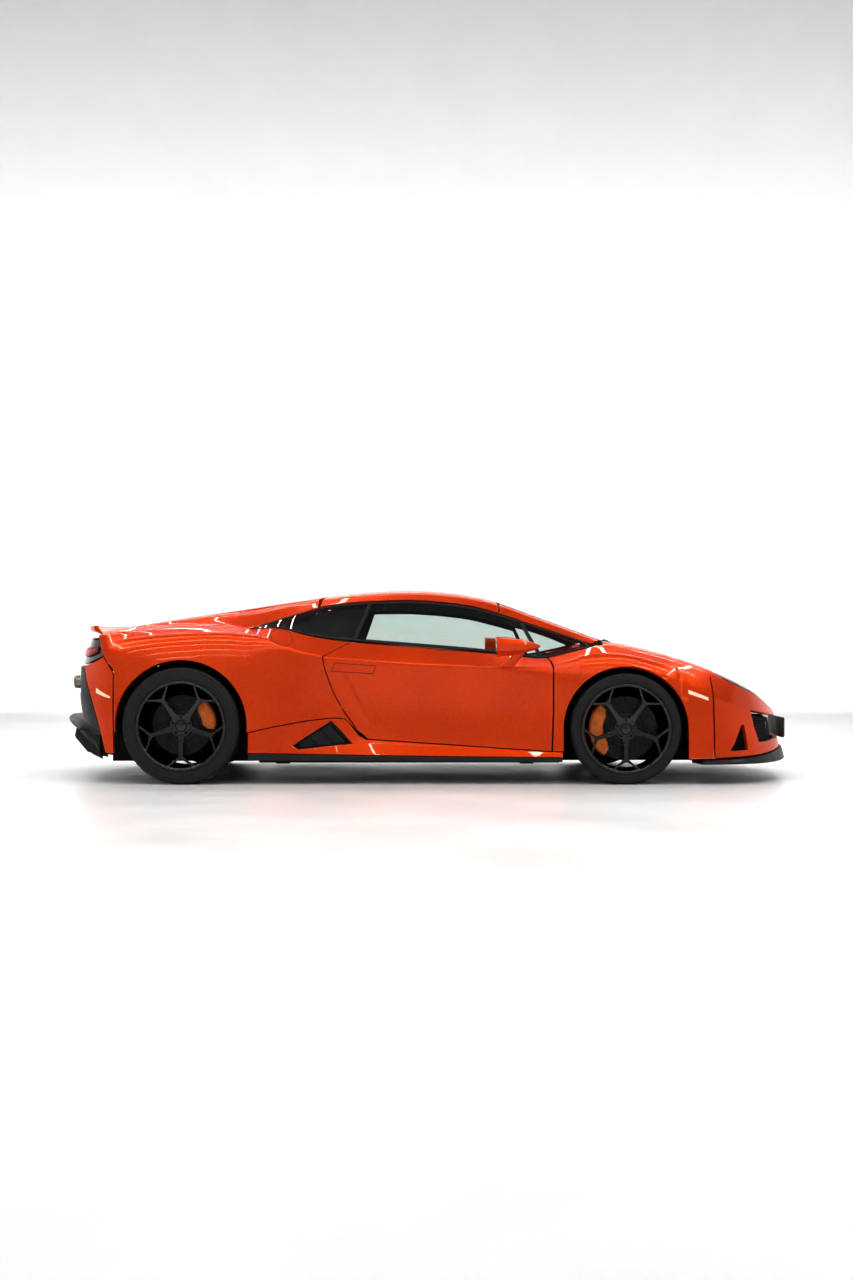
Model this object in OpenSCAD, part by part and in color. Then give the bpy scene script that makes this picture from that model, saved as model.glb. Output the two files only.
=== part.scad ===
// Mid-engined two-seat supercar: body panels, glass, cabin, running gear.
// Frame: +X forward, +Y to the car's left, +Z up, origin on the ground under the middle.

/* [Overall] */
// Distance between the axles
wheelbase = 2620; // [2600:10:2640]
// Front axle ahead of the origin
front_axle_x = 1175; // [1170:1:1180]
// Length of the front number plate, which is blank
plate_w = 440; // [300:10:480]

/* [Wheels] */
// Front tyre's outer diameter
front_tyre_d = 654; // [640:2:660]
// Front tyre's width
front_tyre_w = 245; // [225:5:250]
// Rear tyre's outer diameter
rear_tyre_d = 690; // [680:2:700]
// Rear tyre's width
rear_tyre_w = 305; // [285:5:310]
// Seat diameter of the tyre's bead on the rim
bead_d = 508; // [490:2:520]
// Distance between the front tyres' middles
front_track = 1668; // [1650:2:1672]
// Distance between the rear tyres' middles
rear_track = 1620; // [1600:2:1624]
// Number of forked spokes in a rim
spokes = 5; // [5:1:7]

/* [Brakes] */
// Front brake disc's diameter
front_disc_d = 380; // [360:5:390]
// Rear brake disc's diameter
rear_disc_d = 356; // [340:2:360]

/* [Hidden] */
$fn = 48;

nose = 2500;
tail = -2400;

rear_axle_x = front_axle_x - wheelbase;
front_arch_r = 368;
rear_arch_r = 388;

// ---------------------------------------------------------------- body lines
// Each line runs from the tail's middle to the nose's middle: [station, x, y, z].
// Along the flank the station is x itself, and at the ends it counts on round the corner.
function flank(pts) = [for (p = pts) [p[0], p[0], p[1], p[2]]];

skirt_line = flank([[-2400, 900, 150], [-1000, 938, 140], [0, 932, 134], [800, 938, 131], [2500, 900, 130]]);
lower_line = concat(
    [[-2400, -2120, 0, 300], [-2300, -2105, 330, 290], [-2200, -2070, 590, 265],
     [-2100, -2015, 745, 235], [-2000, -1955, 840, 205]],
    flank([[-1880, 900, 180], [-1445, 950, 178], [-1000, 956, 182], [-500, 950, 174],
           [0, 945, 167], [400, 945, 163], [800, 950, 160], [1175, 955, 152], [1548, 950, 149],
           [1750, 925, 155]]),
    [[1900, 1895, 872, 162], [2050, 2015, 765, 172], [2200, 2120, 570, 186],
     [2350, 2195, 310, 200], [2500, 2225, 0, 208]]);
sill_line = concat(
    [[-2400, -2140, 0, 400], [-2300, -2125, 330, 395], [-2200, -2085, 590, 380],
     [-2100, -2030, 750, 350], [-2000, -1965, 850, 320]],
    flank([[-1880, 912, 300], [-1445, 958, 300], [-1000, 945, 296], [-600, 925, 288],
           [-347, 914, 274], [83, 912, 243], [400, 918, 225], [736, 930, 203], [1175, 955, 205],
           [1548, 948, 225], [1750, 922, 232]]),
    [[1900, 1890, 868, 236], [2050, 2005, 755, 240], [2200, 2108, 560, 246],
     [2350, 2182, 305, 252], [2500, 2212, 0, 256]]);
middle_line = concat(
    [[-2400, -2155, 0, 520], [-2300, -2140, 330, 518], [-2200, -2105, 600, 512],
     [-2100, -2050, 770, 505], [-2000, -1970, 870, 500]],
    flank([[-1880, 928, 500], [-1700, 955, 530], [-1445, 968, 580], [-1150, 956, 540],
           [-800, 928, 490], [-400, 903, 462], [0, 898, 455], [400, 905, 450], [800, 928, 440],
           [1175, 960, 430], [1548, 938, 400], [1750, 905, 375]]),
    [[1900, 1885, 850, 345], [2050, 2000, 740, 330], [2200, 2100, 550, 322],
     [2350, 2175, 300, 318], [2500, 2205, 0, 316]]);
shoulder_line = concat(
    [[-2400, -2150, 0, 700], [-2300, -2135, 320, 700], [-2200, -2100, 570, 698],
     [-2100, -2045, 730, 705], [-2000, -1965, 830, 740]],
    flank([[-1880, 880, 790], [-1650, 905, 850], [-1445, 912, 872], [-1250, 910, 880],
           [-1060, 905, 868], [-860, 922, 812], [-614, 934, 752], [-400, 934, 734],
           [-156, 932, 714], [79, 932, 702], [432, 932, 690], [750, 935, 690], [950, 948, 712],
           [1175, 953, 722], [1400, 938, 668], [1548, 915, 600], [1750, 865, 505]]),
    [[1900, 1875, 805, 452], [2050, 1990, 700, 425], [2200, 2095, 520, 402],
     [2350, 2172, 285, 382], [2500, 2206, 0, 370]]);
belt_line = concat(
    [[-2400, -2080, 0, 893], [-2300, -2072, 300, 890], [-2200, -2050, 530, 882],
     [-2100, -2015, 660, 872], [-2000, -1955, 725, 876]],
    flank([[-1880, 752, 893], [-1650, 770, 910], [-1445, 775, 918], [-1250, 770, 920],
           [-1065, 752, 914], [-878, 770, 922], [-700, 790, 878], [-514, 802, 848],
           [-39, 818, 806], [330, 818, 776], [600, 810, 748], [700, 806, 744], [850, 795, 778],
           [1000, 780, 816], [1110, 780, 818], [1221, 778, 806], [1413, 765, 762],
           [1605, 738, 702], [1750, 705, 646]]),
    [[1900, 1890, 660, 582], [2050, 2000, 575, 520], [2200, 2095, 430, 456],
     [2350, 2170, 235, 408], [2500, 2212, 0, 384]]);
rail_line = concat(
    [[-2400, -2086, 0, 900], [-2300, -2078, 260, 897], [-2200, -2055, 460, 890],
     [-2100, -2020, 590, 884], [-2000, -1958, 650, 893]],
    flank([[-1880, 670, 912], [-1650, 680, 932], [-1445, 685, 942], [-1250, 690, 942],
           [-1065, 708, 922], [-860, 636, 984], [-650, 578, 1050], [-464, 548, 1076],
           [-250, 530, 1090], [-40, 525, 1091], [257, 548, 1060], [450, 578, 1008],
           [640, 625, 944], [820, 684, 884], [1000, 748, 824], [1110, 742, 826],
           [1221, 722, 812], [1413, 690, 768], [1605, 645, 708], [1750, 598, 655]]),
    [[1900, 1895, 545, 592], [2050, 2010, 470, 528], [2200, 2100, 345, 462],
     [2350, 2174, 185, 411], [2500, 2213, 0, 385]]);
crest_line = concat(
    [[-2400, -2092, 0, 905], [-2300, -2084, 240, 902], [-2200, -2062, 430, 896],
     [-2100, -2025, 555, 892], [-2000, -1962, 610, 900]],
    flank([[-1880, 625, 917], [-1771, 625, 934], [-1566, 605, 970], [-1361, 582, 1001],
           [-1150, 556, 1032], [-951, 528, 1062], [-746, 500, 1091], [-400, 462, 1133],
           [-80, 447, 1149], [176, 460, 1133], [300, 478, 1112], [448, 508, 1074],
           [600, 550, 1018], [753, 602, 960], [900, 652, 904], [1046, 698, 850],
           [1120, 680, 836], [1221, 645, 818], [1413, 585, 772], [1605, 528, 714],
           [1750, 475, 660]]),
    [[1900, 1900, 425, 597], [2050, 2015, 355, 532], [2200, 2105, 255, 465],
     [2350, 2176, 135, 413], [2500, 2214, 0, 386]]);
centre_line = concat(
    [[-2400, -2098, 0, 908], [-2300, -2090, 0, 906], [-2200, -2068, 0, 903],
     [-2100, -2030, 0, 900], [-2000, -1966, 0, 906]],
    flank([[-1880, 0, 918], [-1771, 0, 930], [-1566, 0, 964], [-1361, 0, 1002],
           [-1150, 0, 1040], [-951, 0, 1076], [-746, 0, 1112], [-541, 0, 1143],
           [-336, 0, 1162], [-80, 0, 1170], [176, 0, 1154], [300, 0, 1132], [430, 0, 1098],
           [600, 0, 1042], [800, 0, 970], [1000, 0, 892], [1140, 0, 836], [1200, 0, 818],
           [1260, 0, 812], [1413, 0, 786], [1605, 0, 728], [1750, 0, 674]]),
    [[1900, 1905, 0, 606], [2050, 2025, 0, 540], [2200, 2112, 0, 470],
     [2350, 2180, 0, 416], [2500, 2215, 0, 388]]);
lines = [skirt_line, lower_line, sill_line, middle_line, shoulder_line,
         belt_line, rail_line, crest_line, centre_line];

// How far each line's corner is rounded, as a share of the strips beside it: [station, share].
rounding = [
    [[0, 0.02]],
    [[0, 0.05]],
    [[-1880, 0.1], [-1000, 0.3], [1548, 0.3], [1900, 0.1]],
    [[-2000, 0.5], [1750, 0.5], [1900, 0.3]],
    [[-2100, 0.05], [-1880, 0.45], [-1060, 0.45], [-860, 0.08], [-614, 0.04], [432, 0.06],
     [750, 0.3], [950, 0.5], [1548, 0.5], [1900, 0.06]],
    [[-2000, 0.06], [-1650, 0.35], [-1250, 0.35], [-1065, 0.05], [1000, 0.05], [1221, 0.4],
     [1605, 0.4], [1900, 0.3]],
    [[-1250, 0.3], [-1065, 0.08], [1000, 0.08], [1221, 0.45], [1900, 0.3]],
    [[-1880, 0.3], [1046, 0.3], [1221, 0.12], [1900, 0.1]],
    [[0, 0.5]]
];

// ---------------------------------------------------------------- surface maths
function knot(ks, t, i = 0) = (i >= len(ks) - 2 || t < ks[i + 1][0]) ? i : knot(ks, t, i + 1);
function tangent(ks, i, c) =
    let (a = max(i - 1, 0), b = min(i + 1, len(ks) - 1))
    (ks[b][c] - ks[a][c]) / (ks[b][0] - ks[a][0]);
// Cubic through the knots of one line, at one station.
function along(ks, t) =
    let (i = knot(ks, t), h = ks[i + 1][0] - ks[i][0], u = (t - ks[i][0]) / h,
         u2 = u * u, u3 = u2 * u)
    [for (c = [1:3])
        (2 * u3 - 3 * u2 + 1) * ks[i][c] + (u3 - 2 * u2 + u) * h * tangent(ks, i, c)
        + (3 * u2 - 2 * u3) * ks[i + 1][c] + (u3 - u2) * h * tangent(ks, i + 1, c)];
// Straight between the knots, and level past the ends.
function between(ks, t) =
    len(ks) == 1 ? ks[0][1] : lookup(t, ks);
function mix(a, b, u) = a + (b - a) * u;
function flip(p) = [p[0], -p[1], p[2]];
function line_point(k, t) = k > 8 ? flip(line_point(16 - k, t)) : along(lines[k], t);
function strip_point(t, s) = let (k = floor(s)) mix(line_point(k, t), line_point(k + 1, t), s - k);
// The body's skin at station t and height s: whole numbers of s are the body lines, 0 at the
// skirt, 8 on the middle of the roof, 16 at the other skirt. Past the nose and the tail it runs
// on down the other side.
function skin(t, s) =
    t > nose ? flip(skin(2 * nose - t, s)) :
    t < tail ? flip(skin(2 * tail - t, s)) :
    let (k = round(s), d = s - k, w = between(rounding[k > 8 ? 16 - k : k], t))
    (k <= 0 || k >= 16 || abs(d) >= w) ? strip_point(t, s)
    : let (q = (d / w + 1) / 2)
      (1 - q) * (1 - q) * strip_point(t, k - w) + 2 * q * (1 - q) * line_point(k, t)
      + q * q * strip_point(t, k + w);
// The s at which the skin at station t is at height z, on the left flank.
function s_at(t, z, a = 0, b = 5, n = 14) =
    n == 0 ? (a + b) / 2
    : let (m = (a + b) / 2) skin(t, m)[2] < z ? s_at(t, z, m, b, n - 1) : s_at(t, z, a, m, n - 1);
function arch_z(x, ax, az, r) = az + sqrt(max(0, r * r - (x - ax) * (x - ax)));

// ---------------------------------------------------------------- panels
function unit(v) = v / max(norm(v), 1e-9);
// Outward direction of the skin, taken wide enough to mitre a crease.
function outward(t, s) =
    unit(cross(skin(t, s + 0.2) - skin(t, s < 1 ? s : max(s - 0.2, 1)), skin(t + 20, s) - skin(t - 20, s)));
// Evenly spaced values from a to b, n steps.
function steps(a, b, n) = [for (i = [0:n]) a + (b - a) * i / n];
// Grid of [t, s] between two edges, each an [s, station] list, with rows at the given s.
function between_edges(rows, rear_edge, front_edge, n) =
    [for (u = steps(0, 1, n)) [for (s = rows) [mix(lookup(s, rear_edge), lookup(s, front_edge), u), s]]];
// A body panel over a grid of [t, s], thick in depth. Cells that keep(i, j) refuses are left out.
// Its depth runs square to the skin where level(t, s) is 0, and plainly sideways where it is 1.
// tuck(i, j) moves a point of its inner face, to bevel an edge that swings past another.
module panel(G, thick, keep = function(i, j) true, level = function(t, s) 0, lift = 0,
             tuck = function(i, j) [0, 0, 0]) {
    n = len(G);
    m = len(G[0]);
    depth = is_num(thick) ? function(t, s) thick : thick;
    off = function(g, d) skin(g[0], g[1]) + d * unit(mix(outward(g[0], g[1]), [0, 1, 0], level(g[0], g[1])));
    pts = concat([for (r = G) for (g = r) off(g, lift)],
                 [for (i = [0:n - 1]) for (j = [0:m - 1])
                     off(G[i][j], lift - depth(G[i][j][0], G[i][j][1])) + tuck(i, j)]);
    on = function(i, j) i >= 0 && j >= 0 && i < n - 1 && j < m - 1 && keep(i, j);
    o = function(i, j) i * m + j;
    q = function(i, j) n * m + i * m + j;
    wall = function(a, b, c, d) [[a, b, c], [a, c, d]];
    faces = [for (i = [0:n - 2]) for (j = [0:m - 2]) if (on(i, j)) each concat(
        [[o(i, j), o(i + 1, j), o(i + 1, j + 1)], [o(i, j), o(i + 1, j + 1), o(i, j + 1)]],
        [[q(i, j), q(i + 1, j + 1), q(i + 1, j)], [q(i, j), q(i, j + 1), q(i + 1, j + 1)]],
        on(i, j - 1) ? [] : wall(o(i, j), q(i, j), q(i + 1, j), o(i + 1, j)),
        on(i, j + 1) ? [] : wall(o(i + 1, j + 1), q(i + 1, j + 1), q(i, j + 1), o(i, j + 1)),
        on(i - 1, j) ? [] : wall(o(i, j + 1), q(i, j + 1), q(i, j), o(i, j)),
        on(i + 1, j) ? [] : wall(o(i + 1, j), q(i + 1, j), q(i + 1, j + 1), o(i + 1, j + 1)))];
    polyhedron(points = pts, faces = faces, convexity = 8);
}
sideways = function(t, s) 1;
function ramp(x, a, b) = min(max((x - a) / (b - a), 0), 1);
module both() {
    children();
    mirror([0, 1, 0]) children();
}
gap = 6;
door_front = [[2, 737], [3, 745], [4, 745], [4.6, 732], [5, 713]];
door_rear = [[2, -345], [2.15, -392], [2.65, -468], [3.3, -552], [3.75, -598], [4, -610], [5, -444]];
// Top edge of the sill panel: [station, height]. It swells into a blister behind the door.
sill_top = [[-1057, 300], [-900, 336], [-708, 370], [-561, 387], [-484, 384], [-460, 364],
            [-428, 322], [-404, 290], [-358, 262], [83, 233], [400, 211], [736, 190], [807, 188]];
quarter_rear = [[1, -1839], [3, -1839], [3.55, -1842], [4, -1925], [4.5, -1972], [5, -2020], [7, -1975]];
corner_rear = [[1, -1900], [2, -1940], [3, -2030], [4, -2120]];
headlight_rear = [[4.9, 1790], [5.3, 1705], [6, 1720], [6.9, 1790]];
headlight_front = [[4.9, 1985], [6, 2000], [6.9, 2010]];

function shift(ks, d) = [for (k = ks) [k[0], k[1] + d]];
function backwards(v) = [for (i = [len(v) - 1:-1:0]) v[i]];
function mirrored(G, e) = [for (r = backwards(G)) [for (g = r) [2 * e - g[0], g[1]]]];
function above_sill(t) = s_at(t, lookup(t, sill_top) + gap);

// A closed solid through rings of points, all of the same count.
module loft(rings) {
    n = len(rings);
    m = len(rings[0]);
    at = function(i, j) i * m + j % m;
    faces = concat(
        [for (i = [0:n - 2]) for (j = [0:m - 1]) each
            [[at(i, j), at(i + 1, j), at(i + 1, j + 1)], [at(i, j), at(i + 1, j + 1), at(i, j + 1)]]],
        [for (j = [1:m - 2]) [at(0, 0), at(0, j), at(0, j + 1)]],
        [for (j = [1:m - 2]) [at(n - 1, 0), at(n - 1, j + 1), at(n - 1, j)]]);
    polyhedron(points = [for (r = rings) each r], faces = faces, convexity = 6);
}
module box(a, b) {
    translate(a) cube(b - a);
}
module sided(side) {
    if (side > 0) children();
    else mirror([0, 1, 0]) children();
}

// ---------------------------------------------------------------- body panels
door_rows = [4.04, 4.35, 4.7, 4.96];
module door() {
    G = [for (u = steps(0, 1, 12)) let (low = above_sill(mix(-340, 736, u)))
        [for (s = concat([for (v = steps(0, 1, 6)) mix(low, 3.96, v)], door_rows))
            [mix(lookup(s, door_rear), lookup(s, door_front), u), s]]];
    panel(G, 80, level = sideways,
        tuck = function(i, j) [i == 0 ? 12 : i == 12 ? -12 : 0, 0, j == 0 ? 9 : 0]);
}
module door_glass() {
    panel(between_edges([5.06, 5.3, 5.62, 5.94], [[5, -425], [6, -330]], [[5, 680], [6, 560]], 8), 5);
}
module quarter_window_pair() {
    rows = [5.06, 5.35, 5.65, 5.94];
    both() {
        panel(between_edges(rows, [[5, 700], [6, 575]], [[5, 975], [6, 925]], 5), 5);
        panel(between_edges(rows, [[5, -1022], [6, -990]], [[5, -445], [6, -345]], 7), 5);
    }
}
// A fender keeps the cells above the arch and in front of and behind it.
module front_fender() {
    ax = front_axle_x;
    az = front_tyre_d / 2;
    r = front_arch_r;
    columns = concat([0, ax - r], [for (a = [168:-12:12]) ax + r * cos(a)], [ax + r, 1620, 1690]);
    last = len(columns) - 1;
    G = [for (i = [0:last])
        let (t = columns[i], tc = min(max(t, ax - r), ax + r), inside = t > ax - r && t < ax + r,
             low = s_at(tc, arch_z(tc, ax, az, r)), bottom = t > ax ? 1.02 : above_sill(min(tc, 800)))
        [for (s = concat([for (u = [0, 0.5]) inside ? low : mix(bottom, low, u)],
                         [for (u = [0, 0.3, 0.6, 0.8, 1]) mix(low, 4.94, u)], [5.3, 5.7, 6.1, 6.5, 6.9]))
            [i == 0 ? lookup(s, door_front) + gap + 2
             : s > 5 && t < 1140 ? max(t, 1056 + 6 * (i - 6))
             : i == last && s > 4.85 ? lookup(s, headlight_rear) - gap : t, s]]];
    panel(G, 26, function(i, j) (j >= 2 || i == 0 || columns[i] >= ax + r - 1) && (j < 6 || i >= 6),
        function(t, s) s < 5 ? ramp(t, 900, 800) : 0);
}
module rear_quarter() {
    ax = rear_axle_x;
    az = rear_tyre_d / 2;
    r = rear_arch_r;
    // The last columns lean over to follow the door's rear edge.
    columns = concat([-3000, ax - r], [for (a = [168:-12:12]) ax + r * cos(a)], [ax + r], [-900, -708, -561, -488, -466]);
    last = len(columns) - 1;
    lean = function(t) (t - ax - r) / (-466 - ax - r);
    G = [for (i = [0:last])
        let (t = columns[i], ahead = t > ax + r - 1, tc = min(max(t, ax - r), ax + r),
             base = ahead ? above_sill(t) : s_at(tc, 305),
             low = ahead ? mix(base, 3.96, 0.1) : s_at(tc, arch_z(tc, ax, az, r)),
             inside = !ahead && t > ax - r)
        [for (s = concat([inside ? low : base], [for (u = [0, 0.25, 0.5, 0.75, 1]) mix(low, 3.96, u)],
                         [4.04, 4.4, 4.7, 4.94, 5.97, 6.3, 6.6, 6.94]))
            [i == 0 ? lookup(s, quarter_rear)
             : ahead && s > 5 ? mix(ax + r, -660, lean(t))
             : ahead ? mix(ax + r, lookup(s, door_rear) - gap - 4, lean(t)) : t, s]]];
    panel(G, 26, function(i, j) (j >= 1 || i == 0 || columns[i] > ax + r - 1) && (j != 9 || i < last - 5),
        function(t, s) s < 5 ? ramp(t, -1000, -800) : 0);
}
module roof() {
    panel(between_edges(concat([6.06, 6.4, 6.7], steps(7, 9, 6), [9.3, 9.6, 9.94]),
        [[6, -650], [8, -605], [10, -650]], [[6, 440], [8, 425], [10, 440]], 8), 40);
}
module windscreen_pillar() {
    panel(between_edges([6.06, 6.35, 6.65, 6.94], [[6, 446], [7, 446]], [[6, 985], [7, 1040]], 5), 30);
}
screen_foot = [[7, 1050], [7.5, 1160], [8, 1205], [8.5, 1160], [9, 1050]];
across = steps(7.05, 8.95, 8);
lid_front = [[7, 2340], [7.4, 2380], [8.6, 2380], [9, 2340]];
module lid() {
    panel(between_edges(across, shift(screen_foot, 10), lid_front, 12),
        function(t, s) 22 - 17 * ramp(t, 2050, 2380));
}
module cover() {
    panel(between_edges(across, [[7, -1948], [9, -1948]], [[7, -659], [8, -614], [9, -659]], 12), 26,
        function(i, j) i < 4 || i > 10 || j < 2 || j > 5);
}
module louvres() {
    for (t = [-1480:150:-820])
        panel([for (d = [0, 110]) [for (s = steps(7.56, 8.44, 4)) [t + d, s]]], 8, lift = -12);
}
module front_screen() {
    panel(between_edges(across, [[7, 446], [8, 431], [9, 446]], screen_foot, 8), 6);
}
module back_screen() {
    box([-686, -440, 890], [-680, 440, 1050]);
}

// ---------------------------------------------------------------- front end
// Columns of the bumper: they lean over to give the vent and intake their slanted sides.
bumper_guides = [
    [[1, 1699], [4.8, 1699], [4.95, 1793]],
    [[1, 1775], [1.5, 1790], [3, 1880], [3.95, 1955], [5, 1990]],
    [[1, 1915], [2, 1915], [3, 1900], [3.95, 1968], [5, 2000]],
    [[1, 2010], [2, 2025], [3, 1985], [3.95, 1978], [5, 2014]],
    [[1, 2100], [5, 2100]],
    [[1, 2200], [5, 2200]],
    [[1, 2350], [5, 2350]],
    [[1, nose], [5, nose]]
];
module bumper() {
    rows = [1.02, 1.5, 2, 2.5, 3, 3.5, 3.95, 4.1, 4.5, 4.94];
    half = [for (g = bumper_guides) [for (s = rows) [lookup(s, g), s]]];
    G = concat(half, [for (i = [1:len(half) - 1]) mirrored(half, nose)[i]]);
    last = len(G) - 2;
    panel(G, 24, function(i, j) !((i == 1 || i == last - 1) && j >= 1 && j < 4)
                               && !(i >= 3 && i <= last - 3 && j >= 2 && j < 6));
    both() panel(between_edges([5.02, 5.5, 6, 6.4, 6.76], shift(headlight_front, gap), [[5, 2400], [7, 2400]], 4), 20);
}
module grille() {
    panel([for (t = steps(1800, 2 * nose - 1800, 20)) [for (s = [1.6, 2.4, 3.2, 4]) [t, s]]], 8, lift = -60);
}
module splitter() {
    ring = function(t) let (a = skin(t, 1.02), out = unit([a[0] - 1500, a[1], 0]), back = max(a[0] - 240, 1585))
        [a + [0, 0, -10], [a[0], a[1], 128] + out * 32, [a[0], a[1], 118] + out * 30,
         [back, a[1] * 0.85, 118], [back, a[1] * 0.85, 138], a - out * 30 + [0, 0, -26]];
    loft([for (t = concat(steps(2 * nose - 1620, nose, 6), steps(2350, 1620, 5))) ring(t)]);
}
module headlight() {
    panel(between_edges([5.07, 5.4, 5.8, 6.2, 6.6, 6.92], headlight_rear, headlight_front, 5), 20);
}
module plate() {
    translate([2245, 0, 302]) {
        translate([3, 0, 0]) cube([6, plate_w, 112], center = true);
        translate([-7, 0, 0]) cube([14, plate_w + 20, 124], center = true);
    }
}

// ---------------------------------------------------------------- sills
intake_outline = [[-790, 228], [-562, 374], [-434, 240], [-752, 206]];
module sill() {
    columns = [-1050, -900, -708, -561, -484, -460, -428, -404, -358, -130, 83, 400, 736, 802];
    difference() {
        panel([for (t = columns) let (top = s_at(t, lookup(t, sill_top)))
            [for (v = steps(0, 1, 4)) [t, mix(1.03, top, v)]]], 36, level = sideways);
        through_sill(1000, 160) polygon(intake_outline);
    }
}
module through_sill(y, depth) {
    translate([0, y, 0]) rotate([90, 0, 0]) linear_extrude(depth) children();
}
module intake() {
    through_sill(896, 12) offset(delta = -4) polygon(intake_outline);
}
module skirt() {
    panel([for (t = steps(-1050, 800, 6)) [for (s = [0.02, 0.5, 0.97]) [t, s]]], 30, level = sideways);
}

// ---------------------------------------------------------------- rear end
module rear_corner() {
    panel(between_edges([1.02, 1.6, 2.2, 2.8, 3.4, 3.6, 3.95], corner_rear,
        [[1, -1845], [3.5, -1848], [3.96, -1925]], 4), 24);
}
module fascia() {
    half = between_edges([2.05, 2.6, 3.05, 3.7, 3.95], [[1, tail], [4, tail]], shift(corner_rear, -gap), 6);
    G = concat(mirrored(half, tail), [for (i = [1:6]) half[i]]);
    panel(G, 24, function(i, j) !(j == 2 && i >= 2 && i <= 9));
}
module band() {
    half = between_edges([4.06, 4.5, 4.9], [[4, tail], [5, tail]], shift(quarter_rear, -gap - 6), 6);
    panel(concat(mirrored(half, tail), [for (i = [1:6]) half[i]]), 14, lift = -14);
}
module tail_light() {
    panel(between_edges([4.3, 4.45, 4.6], [[4, -2260], [5, -2260]], [[4, -1990], [5, -2020]], 4), 6, lift = -2);
}
module spoiler() {
    loft([for (y = steps(640, -640, 12)) let (e = abs(y) / 640, x = -2118 + 108 * e * e)
        [[-1960, y, 908 - 14 * e * e], [x + 50 - 24 * e * e, y, 926], [x + 18, y, 936], [x, y, 938 - 3 * e],
         [x - 2, y, 926], [x + 12, y, 900], [-1968, y, 894 - 8 * e * e]]]);
}
module rear_diffuser() {
    loft([for (y = steps(-730, 730, 12)) let (e = abs(y) / 760, x = -2258 + 190 * e * e)
        [[-1960, y, 150], [x + 100, y, 235], [x + 30, y, 356 - 60 * e * e], [x, y, 368 - 60 * e * e],
         [x + 4, y, 380 - 60 * e * e], [x + 60, y, 368 - 60 * e * e], [-2010, y, 290], [-1960, y, 280]]]);
}
module exhausts() {
    both() for (y = [150, 262]) translate([-2200, y, 590]) rotate([0, 90, 0]) difference() {
        cylinder(h = 110, r = 40);
        translate([0, 0, -1]) cylinder(h = 80, r = 36);
    }
}

// ---------------------------------------------------------------- mirrors
module door_mirror() {
    hull() {
        translate([412, 1040, 812]) scale([1, 6, 4]) sphere(12, $fn = 16);
        translate([520, 1036, 815]) scale([1, 3, 2.1]) sphere(26, $fn = 16);
        translate([655, 1010, 812]) sphere(14, $fn = 12);
    }
    hull() {
        translate([590, 985, 775]) sphere(16, $fn = 12);
        translate([500, 952, 700]) scale([2.4, 1, 1]) sphere(10, $fn = 12);
    }
}

// ---------------------------------------------------------------- structure
module tub() {
    box([-1000, -780, 118], [790, 780, 150]);
    both() {
        box([-1000, 700, 150], [690, 780, 360]);
        box([790, 525, 118], [1620, 545, 560]);
        box([-1900, 560, 118], [-1000, 620, 420]);
    }
    box([760, -545, 118], [1620, 545, 150]);
    box([760, -700, 150], [790, 700, 660]);
    box([1600, -545, 118], [1620, 545, 500]);
    box([-720, -700, 150], [-700, 700, 880]);
    box([-640, -110, 150], [740, 110, 330]);
    box([-1900, -620, 118], [-1000, 620, 140]);
    // Jacking pads under the floor's corners.
    both() {
        box([560, 690, 110], [640, 750, 118]);
        box([-900, 690, 110], [-820, 750, 118]);
    }
}
module luggage_tub() {
    difference() {
        box([1250, -330, 330], [1560, 330, 600]);
        box([1262, -318, 342], [1548, 318, 610]);
    }
}
module liner(ax, az, r, y0, y1) {
    translate([ax, y1, az]) rotate([90, 0, 0]) difference() {
        cylinder(h = y1 - y0, r = r + 12, $fn = 96);
        translate([0, 0, -1]) cylinder(h = y1 - y0 + 2, r = r + 4, $fn = 96);
        translate([-600, -1000, -1]) cube([1200, 1000 - 60, y1 - y0 + 2]);
    }
}
module liners() {
    both() {
        liner(front_axle_x, front_tyre_d / 2, front_arch_r, 560, 880);
        liner(rear_axle_x, rear_tyre_d / 2, rear_arch_r, 640, 880);
    }
}
module engine_block() {
    box([-1380, -330, 210], [-760, 330, 700]);
}
module seat() {
    translate([0, 370, 0]) {
        hull() {
            box([-250, -220, 190], [300, 220, 250]);
            box([-230, -200, 250], [280, 200, 320]);
        }
        hull() {
            box([-340, -220, 190], [-256, 220, 320]);
            box([-518, -190, 740], [-444, 190, 810]);
        }
        hull() {
            box([-526, -118, 816], [-446, 118, 826]);
            box([-560, -98, 960], [-490, 98, 992]);
        }
    }
}
steer_at = [380, 370, 640];
steer_tilt = 112;
module dash() {
    difference() {
        rotate([90, 0, 0]) translate([0, 0, -640]) linear_extrude(1280)
            polygon([[470, 560], [520, 690], [640, 735], [752, 738], [752, 450], [600, 430]]);
        translate(steer_at) rotate([0, steer_tilt, 0]) cylinder(h = 200, r = 32);
    }
}
module steering() {
    translate(steer_at) rotate([0, steer_tilt, 0]) {
        rotate_extrude($fn = 64) translate([170, 0]) circle(15, $fn = 24);
        for (a = [0, 90, 270]) rotate([0, 0, a]) translate([20, -18, -8]) cube([140, 36, 16]);
        translate([0, 0, -16]) cylinder(h = 32, r = 48);
        cylinder(h = 180, r = 25);
    }
}

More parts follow.
